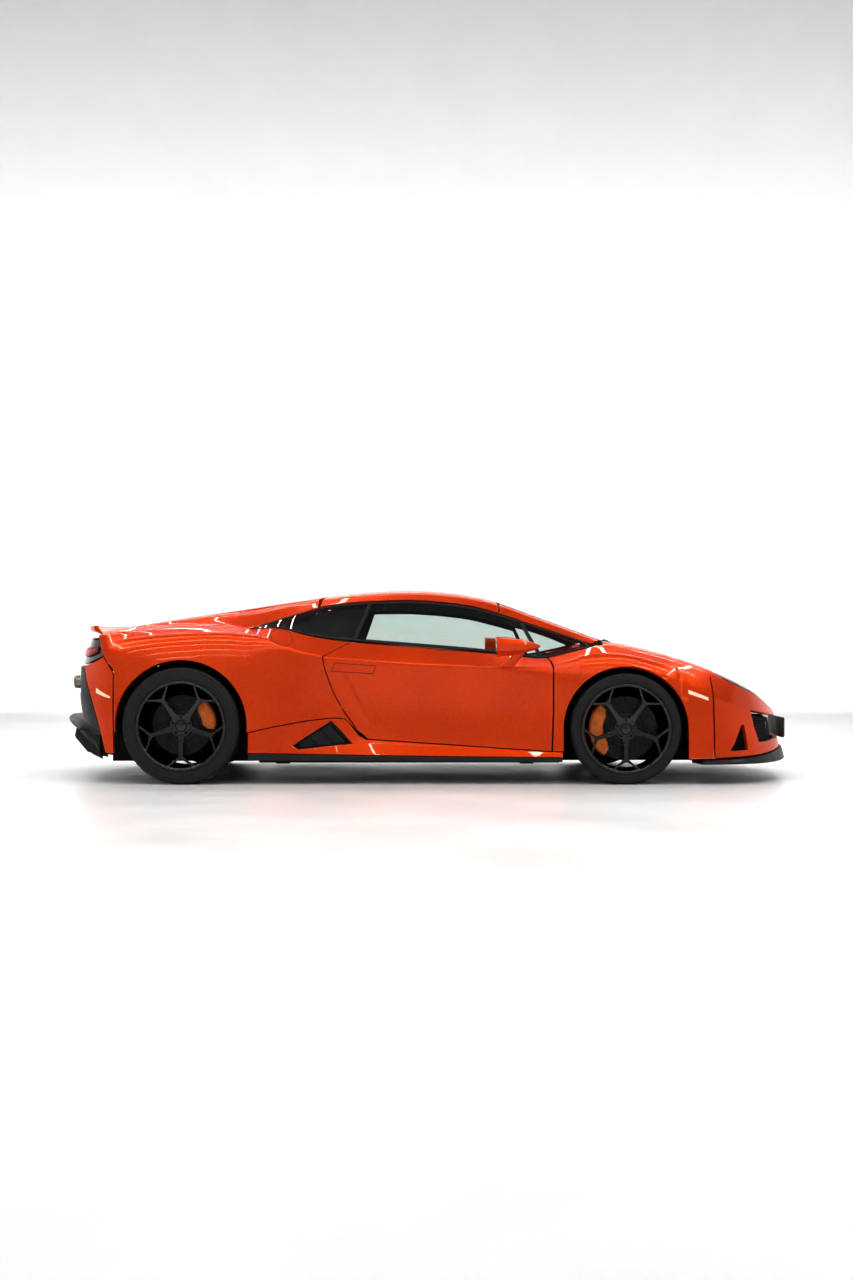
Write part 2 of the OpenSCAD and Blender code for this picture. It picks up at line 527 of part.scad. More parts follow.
// ---------------------------------------------------------------- running gear
// Built about an axle along +Y with the tyre's outer face at y = 0 and the car inboard, at -y.
module tyre(d, w) {
    ro = d / 2;
    ri = bead_d / 2;
    rotate([90, 0, 0]) rotate_extrude($fn = 96) polygon([
        [ri, 12], [ri + 18, 3], [ri + 0.55 * (ro - ri), 0], [ro - 14, 8], [ro, 26],
        [ro, w - 26], [ro - 14, w - 8], [ri + 0.55 * (ro - ri), w], [ri + 18, w - 3], [ri, w - 12]]);
}
module rim(w) {
    r = bead_d / 2 - 0.2;
    rotate([90, 0, 0]) {
        rotate_extrude($fn = 96) polygon([
            [r, 10], [r, 24], [r - 8, 34], [r - 8, w - 30], [r, w - 20], [r, w - 10], [r - 14, w - 10],
            [r - 16, w - 34], [r - 18, 40], [r - 14, 10]]);
        difference() {
            translate([0, 0, 34]) cylinder(h = 50, r = 72);
            translate([0, 0, 44]) cylinder(h = 50, r = 30.05);
        }
        for (i = [0:spokes - 1]) rotate([0, 0, 270 + i * 360 / spokes]) translate([0, 0, 24]) linear_extrude(26)
            polygon([[60, -19], [138, -13], [229, -92], [236, -74], [158, 0], [236, 74], [229, 92], [138, 13], [60, 19]]);
    }
}
module disc(d) {
    rotate([90, 0, 0]) difference() {
        union() {
            translate([0, 0, 96]) cylinder(h = 32, r = d / 2);
            translate([0, 0, 84.2]) cylinder(h = 20, r = 90);
        }
        translate([0, 0, 80]) cylinder(h = 60, r = 45);
    }
}
// The upright with its stub axle and brake caliper. Angle is where the caliper sits.
module knuckle(d, angle, w) {
    rotate([90, 0, 0]) {
        translate([0, 0, 50]) cylinder(h = 100, r = 30);
        translate([0, 0, 140]) cylinder(h = 50, r = 62);
        rotate([0, 0, angle]) {
            difference() {
                intersection() {
                    difference() {
                        translate([0, 0, 80]) cylinder(h = 76, r = d / 2 + 26);
                        cylinder(h = 300, r = d / 2 - 62);
                    }
                    translate([0, 0, 118]) linear_extrude(80, center = true)
                        polygon([[0, 0], [300, -125], [300, 125]]);
                }
                translate([0, 0, 90]) cylinder(h = 44, r = d / 2 + 6);
            }
            translate([40, -35, 141]) cube([d / 2 - 50, 70, 14]);
        }
        for (s = [-1, 1]) translate([-22, s > 0 ? 40 : -170, 150]) cube([44, 130, 34]);
    }
}
module at_wheel(front, side) {
    sided(side) translate(front ? [front_axle_x, front_track / 2 + front_tyre_w / 2, front_tyre_d / 2]
                                : [rear_axle_x, rear_track / 2 + rear_tyre_w / 2, rear_tyre_d / 2]) children();
}
module arms() {
    both() {
        for (z = [-120, 120]) {
            translate([front_axle_x, 0, front_tyre_d / 2 + z]) wishbone(560, 752);
            translate([rear_axle_x, 0, rear_tyre_d / 2 + z]) wishbone(624, 752);
        }
    }
}
module wishbone(y0, y1) {
    linear_extrude(16, center = true) polygon([[-150, y0], [-120, y0], [0, y1 - 24], [120, y0], [150, y0], [14, y1], [-14, y1]]);
}

// ---------------------------------------------------------------- nodes
paint = "#d8400e";
black = "#1a1a1c";
glass = "#39474a";
color(black) tub();  // chassis
color(black) luggage_tub();
color(paint) both() front_fender();  // front_fenders
color(paint) door();  // door_left
color(paint) sided(-1) door();  // door_right
color(paint) both() rear_quarter();  // rear_quarters
color(paint) roof();  // roof_panel
color(paint) both() windscreen_pillar();  // windscreen_pillars
color(paint) lid();  // front_lid
color(paint) cover();  // engine_cover
color(black) louvres();  // engine_cover_louvres
color(glass) front_screen();  // windshield
color(glass) door_glass();  // door_glass_left
color(glass) sided(-1) door_glass();  // door_glass_right
color(glass) quarter_window_pair();  // quarter_windows
color(glass) back_screen();  // rear_window
color(paint) bumper();  // front_bumper
color(black) grille();  // front_grille
color(black) splitter();  // front_splitter
color(glass) both() headlight();  // headlights
color(black) plate();  // number_plate
color(paint) both() sill();  // side_sills
color(black) both() skirt();  // side_skirts
color(black) both() intake();  // side_intakes
color(paint) both() rear_corner();  // rear_bumper
color(black) fascia();  // rear_fascia
color(black) band();  // tail_panel
color("#b01818") both() tail_light();  // tail_lights
color(paint) spoiler();  // rear_spoiler
color(black) rear_diffuser();  // diffuser
color("#3a3a3c") exhausts();  // exhaust_tips
color(paint) door_mirror();  // mirror_left
color(paint) sided(-1) door_mirror();  // mirror_right
color(black) liners();  // wheel_arch_liners
color("#55585c") engine_block();  // engine
color(black) both() seat();  // seats
color(black) dash();  // dashboard
color(black) steering();  // steering_wheel
color("#6a6c70") arms();  // wishbones
color("#e07a10") {  // rear_knuckles
    at_wheel(false, 1) knuckle(rear_disc_d, 20, rear_tyre_w);
    at_wheel(false, -1) knuckle(rear_disc_d, 20, rear_tyre_w);
}
color("#e07a10") at_wheel(true, 1) knuckle(front_disc_d, 180, front_tyre_w);  // front_knuckle_left
color("#e07a10") at_wheel(true, -1) knuckle(front_disc_d, 180, front_tyre_w);  // front_knuckle_right
color("#202022") at_wheel(true, 1) tyre(front_tyre_d, front_tyre_w);  // tyre_front_left
color("#202022") at_wheel(true, -1) tyre(front_tyre_d, front_tyre_w);  // tyre_front_right
color("#202022") at_wheel(false, 1) tyre(rear_tyre_d, rear_tyre_w);  // tyre_rear_left
color("#202022") at_wheel(false, -1) tyre(rear_tyre_d, rear_tyre_w);  // tyre_rear_right
color(black) at_wheel(true, 1) rim(front_tyre_w);  // rim_front_left
color(black) at_wheel(true, -1) rim(front_tyre_w);  // rim_front_right
color(black) at_wheel(false, 1) rim(rear_tyre_w);  // rim_rear_left
color(black) at_wheel(false, -1) rim(rear_tyre_w);  // rim_rear_right
color("#3c3c40") at_wheel(true, 1) disc(front_disc_d);  // disc_front_left
color("#3c3c40") at_wheel(true, -1) disc(front_disc_d);  // disc_front_right
color("#3c3c40") at_wheel(false, 1) disc(rear_disc_d);  // disc_rear_left
color("#3c3c40") at_wheel(false, -1) disc(rear_disc_d);  // disc_rear_right
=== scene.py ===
import math

import bmesh
import bpy
import numpy as np
from mathutils import Matrix, Vector


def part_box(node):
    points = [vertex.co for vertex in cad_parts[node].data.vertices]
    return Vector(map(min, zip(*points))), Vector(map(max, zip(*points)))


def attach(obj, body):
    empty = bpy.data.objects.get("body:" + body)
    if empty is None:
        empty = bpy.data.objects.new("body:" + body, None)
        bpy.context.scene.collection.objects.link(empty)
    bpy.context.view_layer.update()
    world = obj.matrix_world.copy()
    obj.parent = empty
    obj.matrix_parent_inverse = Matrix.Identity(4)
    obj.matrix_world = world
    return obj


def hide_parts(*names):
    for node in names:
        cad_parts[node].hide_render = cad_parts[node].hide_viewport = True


bl_info = {"name": "Supercar looks", "version": (1, 0, 0), "blender": (4, 5, 0), "location":
    "View3D > Sidebar > Supercar", "description":
    "Builds the visible pieces of a mid-engined two-seat supercar on its packed frame", "category":
    "Add Mesh",}

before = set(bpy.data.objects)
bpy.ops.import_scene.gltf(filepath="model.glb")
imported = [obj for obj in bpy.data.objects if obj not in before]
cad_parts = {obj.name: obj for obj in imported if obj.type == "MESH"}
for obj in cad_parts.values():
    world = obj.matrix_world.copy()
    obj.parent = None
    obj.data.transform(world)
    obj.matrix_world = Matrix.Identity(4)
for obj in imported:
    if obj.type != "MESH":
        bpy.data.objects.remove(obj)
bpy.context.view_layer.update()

# Lengths in this file are millimetres in the frame of the car: +X forward, +Y left, +Z up.
# They become metres only where a mesh is made.
MM = 0.001

# ---------------------------------------------------------------- body lines
# Each line runs from the middle of the tail to the middle of the nose: [station, x, y, z].
# Along the flank the station is x itself, and at the ends it counts on round the corner.
NOSE, TAIL = 2500, -2400


def flank(points):
    """Knots of a body line along the flank, where the station is x."""
    return [[x, x, y, z] for x, y, z in points]


def wrapped(tail, side, nose):
    """A whole body line, from its tail, flank and nose."""
    return tail + side + nose


SKIRT_LINE = flank([[-2400, 900, 150], [-1000, 938, 140], [0, 932, 134], [800, 938, 131], [2500, 900, 130]])
LOWER_LINE = wrapped([[-2400, -2120, 0, 300], [-2300, -2105, 330, 290], [-2200, -2070, 590, 265],
    [-2100, -2015, 745, 235], [-2000, -1955, 840, 205]], flank([[-1880, 900, 180], [-1445, 950, 178],
    [-1000, 956, 182], [-500, 950, 174], [0, 945, 167], [400, 945, 163], [800, 950, 160], [1175, 955, 152],
    [1548, 950, 149], [1750, 925, 155]]), [[1900, 1895, 872, 162], [2050, 2015, 765, 172], [2200, 2120, 570,
    186], [2350, 2195, 310, 200], [2500, 2225, 0, 208]])
SILL_LINE = wrapped([[-2400, -2140, 0, 400], [-2300, -2125, 330, 395], [-2200, -2085, 590, 380],
    [-2100, -2030, 750, 350], [-2000, -1965, 850, 320]], flank([[-1880, 912, 300], [-1445, 958, 300],
    [-1000, 945, 296], [-600, 925, 288], [-347, 914, 274], [83, 912, 243], [400, 918, 225], [736, 930, 203],
    [1175, 955, 205], [1548, 948, 225], [1750, 922, 232]]), [[1900, 1890, 868, 236], [2050, 2005, 755, 240],
    [2200, 2108, 560, 246], [2350, 2182, 305, 252], [2500, 2212, 0, 256]])
MIDDLE_LINE = wrapped([[-2400, -2155, 0, 520], [-2300, -2140, 330, 518], [-2200, -2105, 600, 512],
    [-2100, -2050, 770, 505], [-2000, -1970, 870, 500]], flank([[-1880, 928, 500], [-1700, 955, 530],
    [-1445, 968, 580], [-1150, 956, 540], [-800, 928, 490], [-400, 903, 462], [0, 898, 455],
    [400, 905, 450], [800, 928, 440], [1175, 960, 430], [1548, 938, 400], [1750, 905, 375]]),
    [[1900, 1885, 850, 345], [2050, 2000, 740, 330], [2200, 2100, 550, 322], [2350, 2175, 300, 318],
    [2500, 2205, 0, 316]])
SHOULDER_LINE = wrapped([[-2400, -2150, 0, 700], [-2300, -2135, 320, 700], [-2200, -2100, 570, 698],
    [-2100, -2045, 730, 705], [-2000, -1965, 830, 740]], flank([[-1880, 880, 790], [-1650, 905, 850],
    [-1445, 912, 872], [-1250, 910, 880], [-1060, 905, 868], [-860, 922, 812], [-614, 934, 752],
    [-400, 934, 734], [-156, 932, 714], [79, 932, 702], [432, 932, 690], [750, 935, 690], [950, 948, 712],
    [1175, 953, 722], [1400, 938, 668], [1548, 915, 600], [1750, 865, 505]]), [[1900, 1875, 805, 452],
    [2050, 1990, 700, 425], [2200, 2095, 520, 402], [2350, 2172, 285, 382], [2500, 2206, 0, 370]])
BELT_LINE = wrapped([[-2400, -2080, 0, 893], [-2300, -2072, 300, 890], [-2200, -2050, 530, 882],
    [-2100, -2015, 660, 872], [-2000, -1955, 725, 876]], flank([[-1880, 752, 893], [-1650, 770, 910],
    [-1445, 775, 918], [-1250, 770, 920], [-1065, 752, 914], [-878, 770, 922], [-700, 790, 878],
    [-514, 802, 848], [-39, 818, 806], [330, 818, 776], [600, 810, 748], [700, 806, 744], [850, 795, 778],
    [1000, 780, 816], [1110, 780, 818], [1221, 778, 806], [1413, 765, 762], [1605, 738, 702],
    [1750, 705, 646]]), [[1900, 1890, 660, 582], [2050, 2000, 575, 520], [2200, 2095, 430, 456],
    [2350, 2170, 235, 408], [2500, 2212, 0, 384]])
RAIL_LINE = wrapped([[-2400, -2086, 0, 900], [-2300, -2078, 260, 897], [-2200, -2055, 460, 890],
    [-2100, -2020, 590, 884], [-2000, -1958, 650, 893]], flank([[-1880, 670, 912], [-1650, 680, 932],
    [-1445, 685, 942], [-1250, 690, 942], [-1065, 708, 922], [-860, 636, 984], [-650, 578, 1050],
    [-464, 548, 1076], [-250, 530, 1090], [-40, 525, 1091], [257, 548, 1060], [450, 578, 1008],
    [640, 625, 944], [820, 684, 884], [1000, 748, 824], [1110, 742, 826], [1221, 722, 812],
    [1413, 690, 768], [1605, 645, 708], [1750, 598, 655]]), [[1900, 1895, 545, 592], [2050, 2010, 470, 528],
    [2200, 2100, 345, 462], [2350, 2174, 185, 411], [2500, 2213, 0, 385]])
CREST_LINE = wrapped([[-2400, -2092, 0, 905], [-2300, -2084, 240, 902], [-2200, -2062, 430, 896],
    [-2100, -2025, 555, 892], [-2000, -1962, 610, 900]], flank([[-1880, 625, 917], [-1771, 625, 934],
    [-1566, 605, 970], [-1361, 582, 1001], [-1150, 556, 1032], [-951, 528, 1062], [-746, 500, 1091],
    [-400, 462, 1133], [-80, 447, 1149], [176, 460, 1133], [300, 478, 1112], [448, 508, 1074],
    [600, 550, 1018], [753, 602, 960], [900, 652, 904], [1046, 698, 850], [1120, 680, 836],
    [1221, 645, 818], [1413, 585, 772], [1605, 528, 714], [1750, 475, 660]]), [[1900, 1900, 425, 597],
    [2050, 2015, 355, 532], [2200, 2105, 255, 465], [2350, 2176, 135, 413], [2500, 2214, 0, 386]])
CENTRE_LINE = wrapped([[-2400, -2098, 0, 908], [-2300, -2090, 0, 906], [-2200, -2068, 0, 903],
    [-2100, -2030, 0, 900], [-2000, -1966, 0, 906]], flank([[-1880, 0, 918], [-1771, 0, 930],
    [-1566, 0, 964], [-1361, 0, 1002], [-1150, 0, 1040], [-951, 0, 1076], [-746, 0, 1112], [-541, 0, 1143],
    [-336, 0, 1162], [-80, 0, 1170], [176, 0, 1154], [300, 0, 1132], [430, 0, 1098], [600, 0, 1042],
    [800, 0, 970], [1000, 0, 892], [1140, 0, 836], [1200, 0, 818], [1260, 0, 812], [1413, 0, 786],
    [1605, 0, 728], [1750, 0, 674]]), [[1900, 1905, 0, 606], [2050, 2025, 0, 540], [2200, 2112, 0, 470],
    [2350, 2180, 0, 416], [2500, 2215, 0, 388]])

# How far the corner at each line is rounded, as a share of the strips beside it: [station, share].
ROUNDING = [[[0, 0.02]], [[0, 0.05]], [[-1880, 0.1], [-1000, 0.3], [1548, 0.3], [1900, 0.1]], [[-2000, 0.5],
    [1750, 0.5], [1900, 0.3]], [[-2100, 0.05], [-1880, 0.45], [-1060, 0.45], [-860, 0.08], [-614, 0.04],
    [432, 0.06], [750, 0.3], [950, 0.5], [1548, 0.5], [1900, 0.06]], [[-2000, 0.06], [-1650, 0.35],
    [-1250, 0.35], [-1065, 0.05], [1000, 0.05], [1221, 0.4], [1605, 0.4], [1900, 0.3]], [[-1250, 0.3],
    [-1065, 0.08], [1000, 0.08], [1221, 0.45], [1900, 0.3]], [[-1880, 0.3], [1046, 0.3], [1221, 0.12],
    [1900, 0.1]], [[0, 0.5]],]


def knots_and_slopes(line):
    """A body line as arrays: its knots, and the slope of x, y and z at each."""
    knots = np.array(line, float)
    before = np.maximum(np.arange(len(knots)) - 1, 0)
    after = np.minimum(np.arange(len(knots)) + 1, len(knots) - 1)
    run = (knots[after, 0] - knots[before, 0])[:, None]
    return knots, (knots[after, 1:] - knots[before, 1:]) / run


LINES = [knots_and_slopes(line) for line in (SKIRT_LINE, LOWER_LINE, SILL_LINE, MIDDLE_LINE, SHOULDER_LINE,
    BELT_LINE, RAIL_LINE, CREST_LINE, CENTRE_LINE)]
LAST_LINE = 2 * (len(LINES) - 1)
MIRROR = np.array([1.0, -1.0, 1.0])


def along(line, t):
    """Cubic through the knots of one line, at stations t."""
    knots, slopes = line
    i = np.clip(np.searchsorted(knots[:, 0], t, side="right") - 1, 0, len(knots) - 2)
    h = knots[i + 1, 0] - knots[i, 0]
    u = ((t - knots[i, 0]) / h)[..., None]
    h = h[..., None]
    return ((2 * u**3 - 3 * u**2 + 1) * knots[i, 1:] + (u**3 - 2 * u**2 + u) * h * slopes[i] + (3 * u**2 - 2
        * u**3) * knots[i + 1, 1:] + (u**3 - u**2) * h * slopes[i + 1])


def pick(stack, k):
    """The k-th of the last axis but one, for every point."""
    return np.take_along_axis(stack, k[..., None, None], axis=-2)[..., 0, :]


def corner_share(t):
    """The rounding of all 17 lines at stations t."""
    half = [np.interp(t, [k[0] for k in table], [k[1] for k in table]) for table in ROUNDING]
    return np.stack(half + half[-2::-1], axis=-1)


def skin(t, s):
    """The skin of the body at station t and height s. Whole numbers of s are the body lines:
    0 at the skirt, 8 on the middle of the roof and 16 at the other skirt. Past the nose and
    the tail it runs on down the other side."""
    t, s = np.broadcast_arrays(np.asarray(t, float), np.asarray(s, float))
    past = (t > NOSE) | (t < TAIL)
    t = np.where(t > NOSE, 2 * NOSE - t, np.where(t < TAIL, 2 * TAIL - t, t))
    half = np.stack([along(line, t) for line in LINES], axis=-2)
    points = np.concatenate([half, half[..., -2::-1, :] * MIRROR], axis=-2)
    share = corner_share(t)

    def strip(at):
        k = np.clip(np.floor(at), 0, LAST_LINE - 1).astype(int)
        low = pick(points, k)
        return low + (pick(points, k + 1) - low) * (at - k)[..., None]

    k = np.clip(np.rint(s), 0, LAST_LINE).astype(int)
    w = np.take_along_axis(share, k[..., None], axis=-1)[..., 0]
    d = s - k
    q = ((d / w + 1) / 2)[..., None]
    rounded = ((1 - q)**2 * strip(k - w) + 2 * q * (1 - q) * pick(points, k) + q**2 * strip(k + w))
    inside = (k > 0) & (k < LAST_LINE) & (np.abs(d) < w)
    found = np.where(inside[..., None], rounded, strip(s))
    return np.where(past[..., None], found * MIRROR, found)


def unit(v):
    """Vectors scaled to length 1."""
    return v / np.maximum(np.linalg.norm(v, axis=-1, keepdims=True), 1e-9)


def outward(t, s):
    """Outward direction of the skin, taken wide enough to mitre a sharp corner."""
    t, s = np.broadcast_arrays(np.asarray(t, float), np.asarray(s, float))
    below = np.where(s < 1, s, np.maximum(s - 0.2, 1))
    return unit(np.cross(skin(t, s + 0.2) - skin(t, below), skin(t + 20, s) - skin(t - 20, s)))


def height_at(t, z, low=0.0, high=5.0):
    """The s at which the skin at station t is at height z, on the left flank."""
    t, z = np.broadcast_arrays(np.asarray(t, float), np.asarray(z, float))
    a, b = np.full(t.shape, low), np.full(t.shape, high)
    for _ in range(16):
        m = (a + b) / 2
        under = skin(t, m)[..., 2] < z
        a, b = np.where(under, m, a), np.where(under, b, m)
    return (a + b) / 2


def even(t, s):
    """s in a measure that gives half of each strip's rows to the roundings at its two sides."""
    k = np.clip(np.floor(s), 0, LAST_LINE - 1).astype(int)
    share = corner_share(t)
    w0 = np.take_along_axis(share, k[..., None], axis=-1)[..., 0]
    w1 = np.take_along_axis(share, k[..., None] + 1, axis=-1)[..., 0]
    f = s - k
    flat = np.maximum(1 - w0 - w1, 1e-6)
    return k + np.where(f < w0, 0.25 * f / w0, np.where(f > 1 - w1, 1 - 0.25 * (1 - f) / w1, 0.25 + 0.5 *
        (f - w0) / flat))


def uneven(t, e):
    """The s of a measure from even()."""
    k = np.clip(np.floor(e), 0, LAST_LINE - 1).astype(int)
    share = corner_share(t)
    w0 = np.take_along_axis(share, k[..., None], axis=-1)[..., 0]
    w1 = np.take_along_axis(share, k[..., None] + 1, axis=-1)[..., 0]
    f = e - k
    return k + np.where(f < 0.25, 4 * f * w0, np.where(f > 0.75, 1 - 4 * (1 - f) * w1, w0 + (f - 0.25) * 2 *
        (1 - w0 - w1)))


def table(points):
    """A function of s (or of station) straight between [at, value] points."""
    at, value = np.array(points, float).T
    return lambda x: np.interp(x, at, value)


def constant(value):
    """A function that gives one value everywhere."""
    return lambda x: np.full(np.shape(x), float(value))


def ruled(edges, counts):
    """Columns of a panel: functions of s, with counts[i] even steps from each edge to the next."""
    edges = [edge if callable(edge) else constant(edge) for edge in edges]
    columns = [edges[0]]
    for a, b, n in zip(edges, edges[1:], counts):
        for i in range(1, n + 1):
            columns.append(lambda s, a=a, b=b, u=i / n: a(s) + (b(s) - a(s)) * u)
    return columns


def weave(columns, stops, counts, lean=None):
    """Grid of stations and heights, one row of the arrays for each column. stops are functions of
    the station that give heights, with counts[i] rows from each to the next."""
    stops = [stop if callable(stop) else constant(stop) for stop in stops]
    rows = [(i, r / n) for i, n in enumerate(counts) for r in range(n)] + [(len(counts) - 1, 1.0)]
    first, share = np.array([r[0] for r in rows]), np.array([r[1] for r in rows])
    n = len(columns)
    number = np.arange(n)[:, None]
    s = np.full((n, len(rows)), (float(np.mean(stops[0](0.0))) + float(np.mean(stops[-1](0.0)))) / 2)
    for _ in range(7):
        t = np.stack([column(s[i]) for i, column in enumerate(columns)])
        if lean:
            t = lean(t, s, number)
        marks = np.stack([even(t, stop(t)) for stop in stops], axis=-1)
        low = np.take_along_axis(marks, np.broadcast_to(first[None, :, None], t.shape + (1,)), -1)[..., 0]
        high = np.take_along_axis(marks, np.broadcast_to(first[None, :, None] + 1, t.shape + (1,)), -1)[...,
            0]
        s = uneven(t, low + (high - low) * share)
    t = np.stack([column(s[i]) for i, column in enumerate(columns)])
    if lean:
        t = lean(t, s, number)
    return t, s


# ---------------------------------------------------------------- meshes
def grid_quads(shape, keep=None):
    """Quads of a grid of points, leaving out the cells where keep is False."""
    n, m = shape
    at = np.arange(n * m).reshape(n, m)
    quads = np.stack([at[:-1, :-1], at[:-1, 1:], at[1:, 1:], at[1:, :-1]], axis=-1)
    return quads[keep] if keep is not None else quads.reshape(-1, 4)


def thicken(outer, inner, quads):
    """A closed shell: the quads over the outer points, the same over the inner ones and walls round
    every free edge. Gives its points, faces, and its outer and inner rim edges."""
    quads = np.asarray(quads)
    used = np.unique(quads)
    renumber = np.full(len(outer), -1)
    renumber[used] = np.arange(len(used))
    quads = renumber[quads]
    n = len(used)
    points = np.concatenate([outer[used], inner[used]])
    edges = np.concatenate([quads[:, [i, (i + 1) % 4]] for i in range(4)])
    key = np.sort(edges, axis=1)
    _, where, count = np.unique(key, axis=0, return_index=True, return_counts=True)
    rim = edges[where[count == 1]]
    walls = np.stack([rim[:, 1], rim[:, 0], rim[:, 0] + n, rim[:, 1] + n], axis=1)
    faces = np.concatenate([quads, quads[:, ::-1] + n, walls])
    return points, faces, rim, rim + n


def mirrored_too(points, faces, *rims):
    """The same shell with its mirror image on the other side of the car."""
    n = len(points)
    both = [np.concatenate([rim, rim + n]) for rim in rims]
    return (np.concatenate([points, points * MIRROR]), np.concatenate([faces, faces[:, ::-1] + n]), *both)


def mesh_object(name, points, faces, smooth=True):
    """A new object of points in millimetres."""
    mesh = bpy.data.meshes.new(name)
    faces = [list(dict.fromkeys(int(i) for i in face)) for face in faces]
    mesh.from_pydata((np.asarray(points) * MM).tolist(), [], [f for f in faces if len(f) > 2])
    mesh.validate()
    made = bmesh.new()
    made.from_mesh(mesh)
    bmesh.ops.recalc_face_normals(made, faces=made.faces)
    made.to_mesh(mesh)
    made.free()
    mesh.polygons.foreach_set("use_smooth", [smooth] * len(mesh.polygons))
    piece = bpy.data.objects.new(name, mesh)
    bpy.context.scene.collection.objects.link(piece)
    return piece


def mark_edges(piece, edges, attribute, kind, value):
    """Writes a value on the named edge attribute at these edges, given as pairs of points."""
    mesh = piece.data
    ends = np.zeros(len(mesh.edges) * 2, np.int64)
    mesh.edges.foreach_get("vertices", ends)
    ends = np.sort(ends.reshape(-1, 2), axis=1)
    span = len(mesh.vertices) + 1
    chosen = np.sort(np.asarray(edges), axis=1)
    hit = np.isin(ends[:, 0] * span + ends[:, 1], chosen[:, 0] * span + chosen[:, 1])
    layer = mesh.attributes.get(attribute) or mesh.attributes.new(attribute, kind, "EDGE")
    layer.data.foreach_set("value", np.where(hit, value, 0).astype(np.float32 if kind == "FLOAT" else bool))


def round_rim(piece, rim, radius, segments=2):
    """Rounds the marked edges of a piece with a bevel of the given radius."""
    mark_edges(piece, rim, "bevel_weight_edge", "FLOAT", 1.0)
    bevel = piece.modifiers.new("rounded_rim", "BEVEL")
    bevel.limit_method = "WEIGHT"
    bevel.width = radius * MM
    bevel.segments = segments
    bevel.harden_normals = True
    return piece


def shell(name, grid, thick, keep=None, level=None, lift=0.0, tuck=None, both=False, side=1, radius=2.0,
        segments=2, shape=None):
    """A body panel over a grid of stations and heights, thick in depth. Its depth runs square to
    the skin where level is 0 and plainly sideways where it is 1. lift raises it off the skin, tuck
    moves its inner points, and shape moves its outer ones."""
    t, s = grid
    slope = 0.0 if level is None else level(t, s)
    normal = outward(t, s)
    depth_way = unit(normal + (np.array([0.0, 1.0, 0.0]) - normal) * np.asarray(slope)[..., None])
    lift = lift(t, s)[..., None] if callable(lift) else lift
    thick = thick(t, s)[..., None] if callable(thick) else thick
    outer = skin(t, s) + depth_way * lift
    inner = outer - depth_way * thick
    if tuck is not None:
        inner = inner + tuck
    if shape is not None:
        outer = shape(outer, t, s)
    made = thicken(outer.reshape(-1, 3), inner.reshape(-1, 3), grid_quads(t.shape, keep))
    if both:
        made = mirrored_too(*made)
    points, faces, rim, inner_rim = made
    if side < 0:
        points, faces = points * MIRROR, faces[:, ::-1]
    piece = mesh_object(name, points, faces)
    mark_edges(piece, inner_rim, "sharp_edge", "BOOLEAN", True)
    if radius:
        round_rim(piece, rim, radius, segments)
    else:
        mark_edges(piece, np.concatenate([rim, inner_rim]), "sharp_edge", "BOOLEAN", True)
    return piece


def lathe(profile, turns, wobble=None):
    """Points and quads of a closed profile of (radius, depth) pairs turned round an axle along Y.
    Depth counts inboard, towards -Y."""
    profile = np.array(profile, float)
    angle = np.arange(turns) * 2 * math.pi / turns
    radius = np.broadcast_to(profile[:, 0], (turns, len(profile)))
    if wobble is not None:
        radius = radius + wobble(angle[:, None], profile[None, :, 0], profile[None, :, 1])
    points = np.stack([radius * np.cos(angle)[:, None], np.broadcast_to(-profile[:, 1], radius.shape),
        radius * np.sin(angle)[:, None]], axis=-1)
    at = np.arange(points.shape[0] * points.shape[1]).reshape(points.shape[:2])
    nxt, up = np.roll(at, -1, axis=0), np.roll(at, -1, axis=1)
    quads = np.stack([at, nxt, np.roll(nxt, -1, axis=1), up], axis=-1).reshape(-1, 4)
    return points.reshape(-1, 3), quads


def rails(rings, closed_ring=True, closed_run=False, caps=True):
    """Points and faces through rings of points, all of one count, with flat caps at the two ends."""
    rings = np.asarray(rings, float)
    n, m = rings.shape[:2]
    at = np.arange(n * m).reshape(n, m)
    if closed_run:
        at = np.concatenate([at, at[:1]])
    if closed_ring:
        at = np.concatenate([at, at[:, :1]], axis=1)
    quads = np.stack([at[:-1, :-1], at[1:, :-1], at[1:, 1:], at[:-1, 1:]], axis=-1).reshape(-1, 4)
    faces = quads.tolist()
    if caps and not closed_run:
        faces += [list(range(m)), list(range((n - 1) * m, n * m))[::-1]]
    return rings.reshape(-1, 3), faces


def tube(path, radius, sides=10, closed=False):
    """Points and faces of a round tube along a path, its radius one number or one for each point."""
    path = np.asarray(path, float)
    radius = np.broadcast_to(radius, len(path))
    if closed:
        run = np.roll(path, -1, axis=0) - np.roll(path, 1, axis=0)
    else:
        run = np.gradient(path, axis=0)
    run = unit(run)
    up = np.array([0.0, 0.0, 1.0]) if abs(run[0, 2]) < 0.9 else np.array([1.0, 0.0, 0.0])
    side = unit(np.cross(run, up))
    rise = np.cross(side, run)
    a = np.arange(sides) * 2 * math.pi / sides
    rings = (path[:, None] + radius[:, None, None] * (side[:, None] * np.cos(a)[:, None] + rise[:, None] *
        np.sin(a)[:, None]))
    return rails(rings, closed_run=closed)


def bead(path, normal, width, height, closed=False, sink=1.0):
    """Points and faces of a low rounded strip laid along a path, standing up along its normals."""
    path, normal = np.asarray(path, float), np.asarray(normal, float)
    if closed:
        run = np.roll(path, -1, axis=0) - np.roll(path, 1, axis=0)
    else:
        run = np.gradient(path, axis=0)
    across = unit(np.cross(unit(run), normal))
    w, h = width / 2, height
    section = [(-w, -sink), (-w, h * 0.55), (-w * 0.62, h), (w * 0.62, h), (w, h * 0.55), (w, -sink)]
    rings = np.stack([path + across * a + normal * b for a, b in section], axis=1)
    return rails(rings, closed_run=closed)


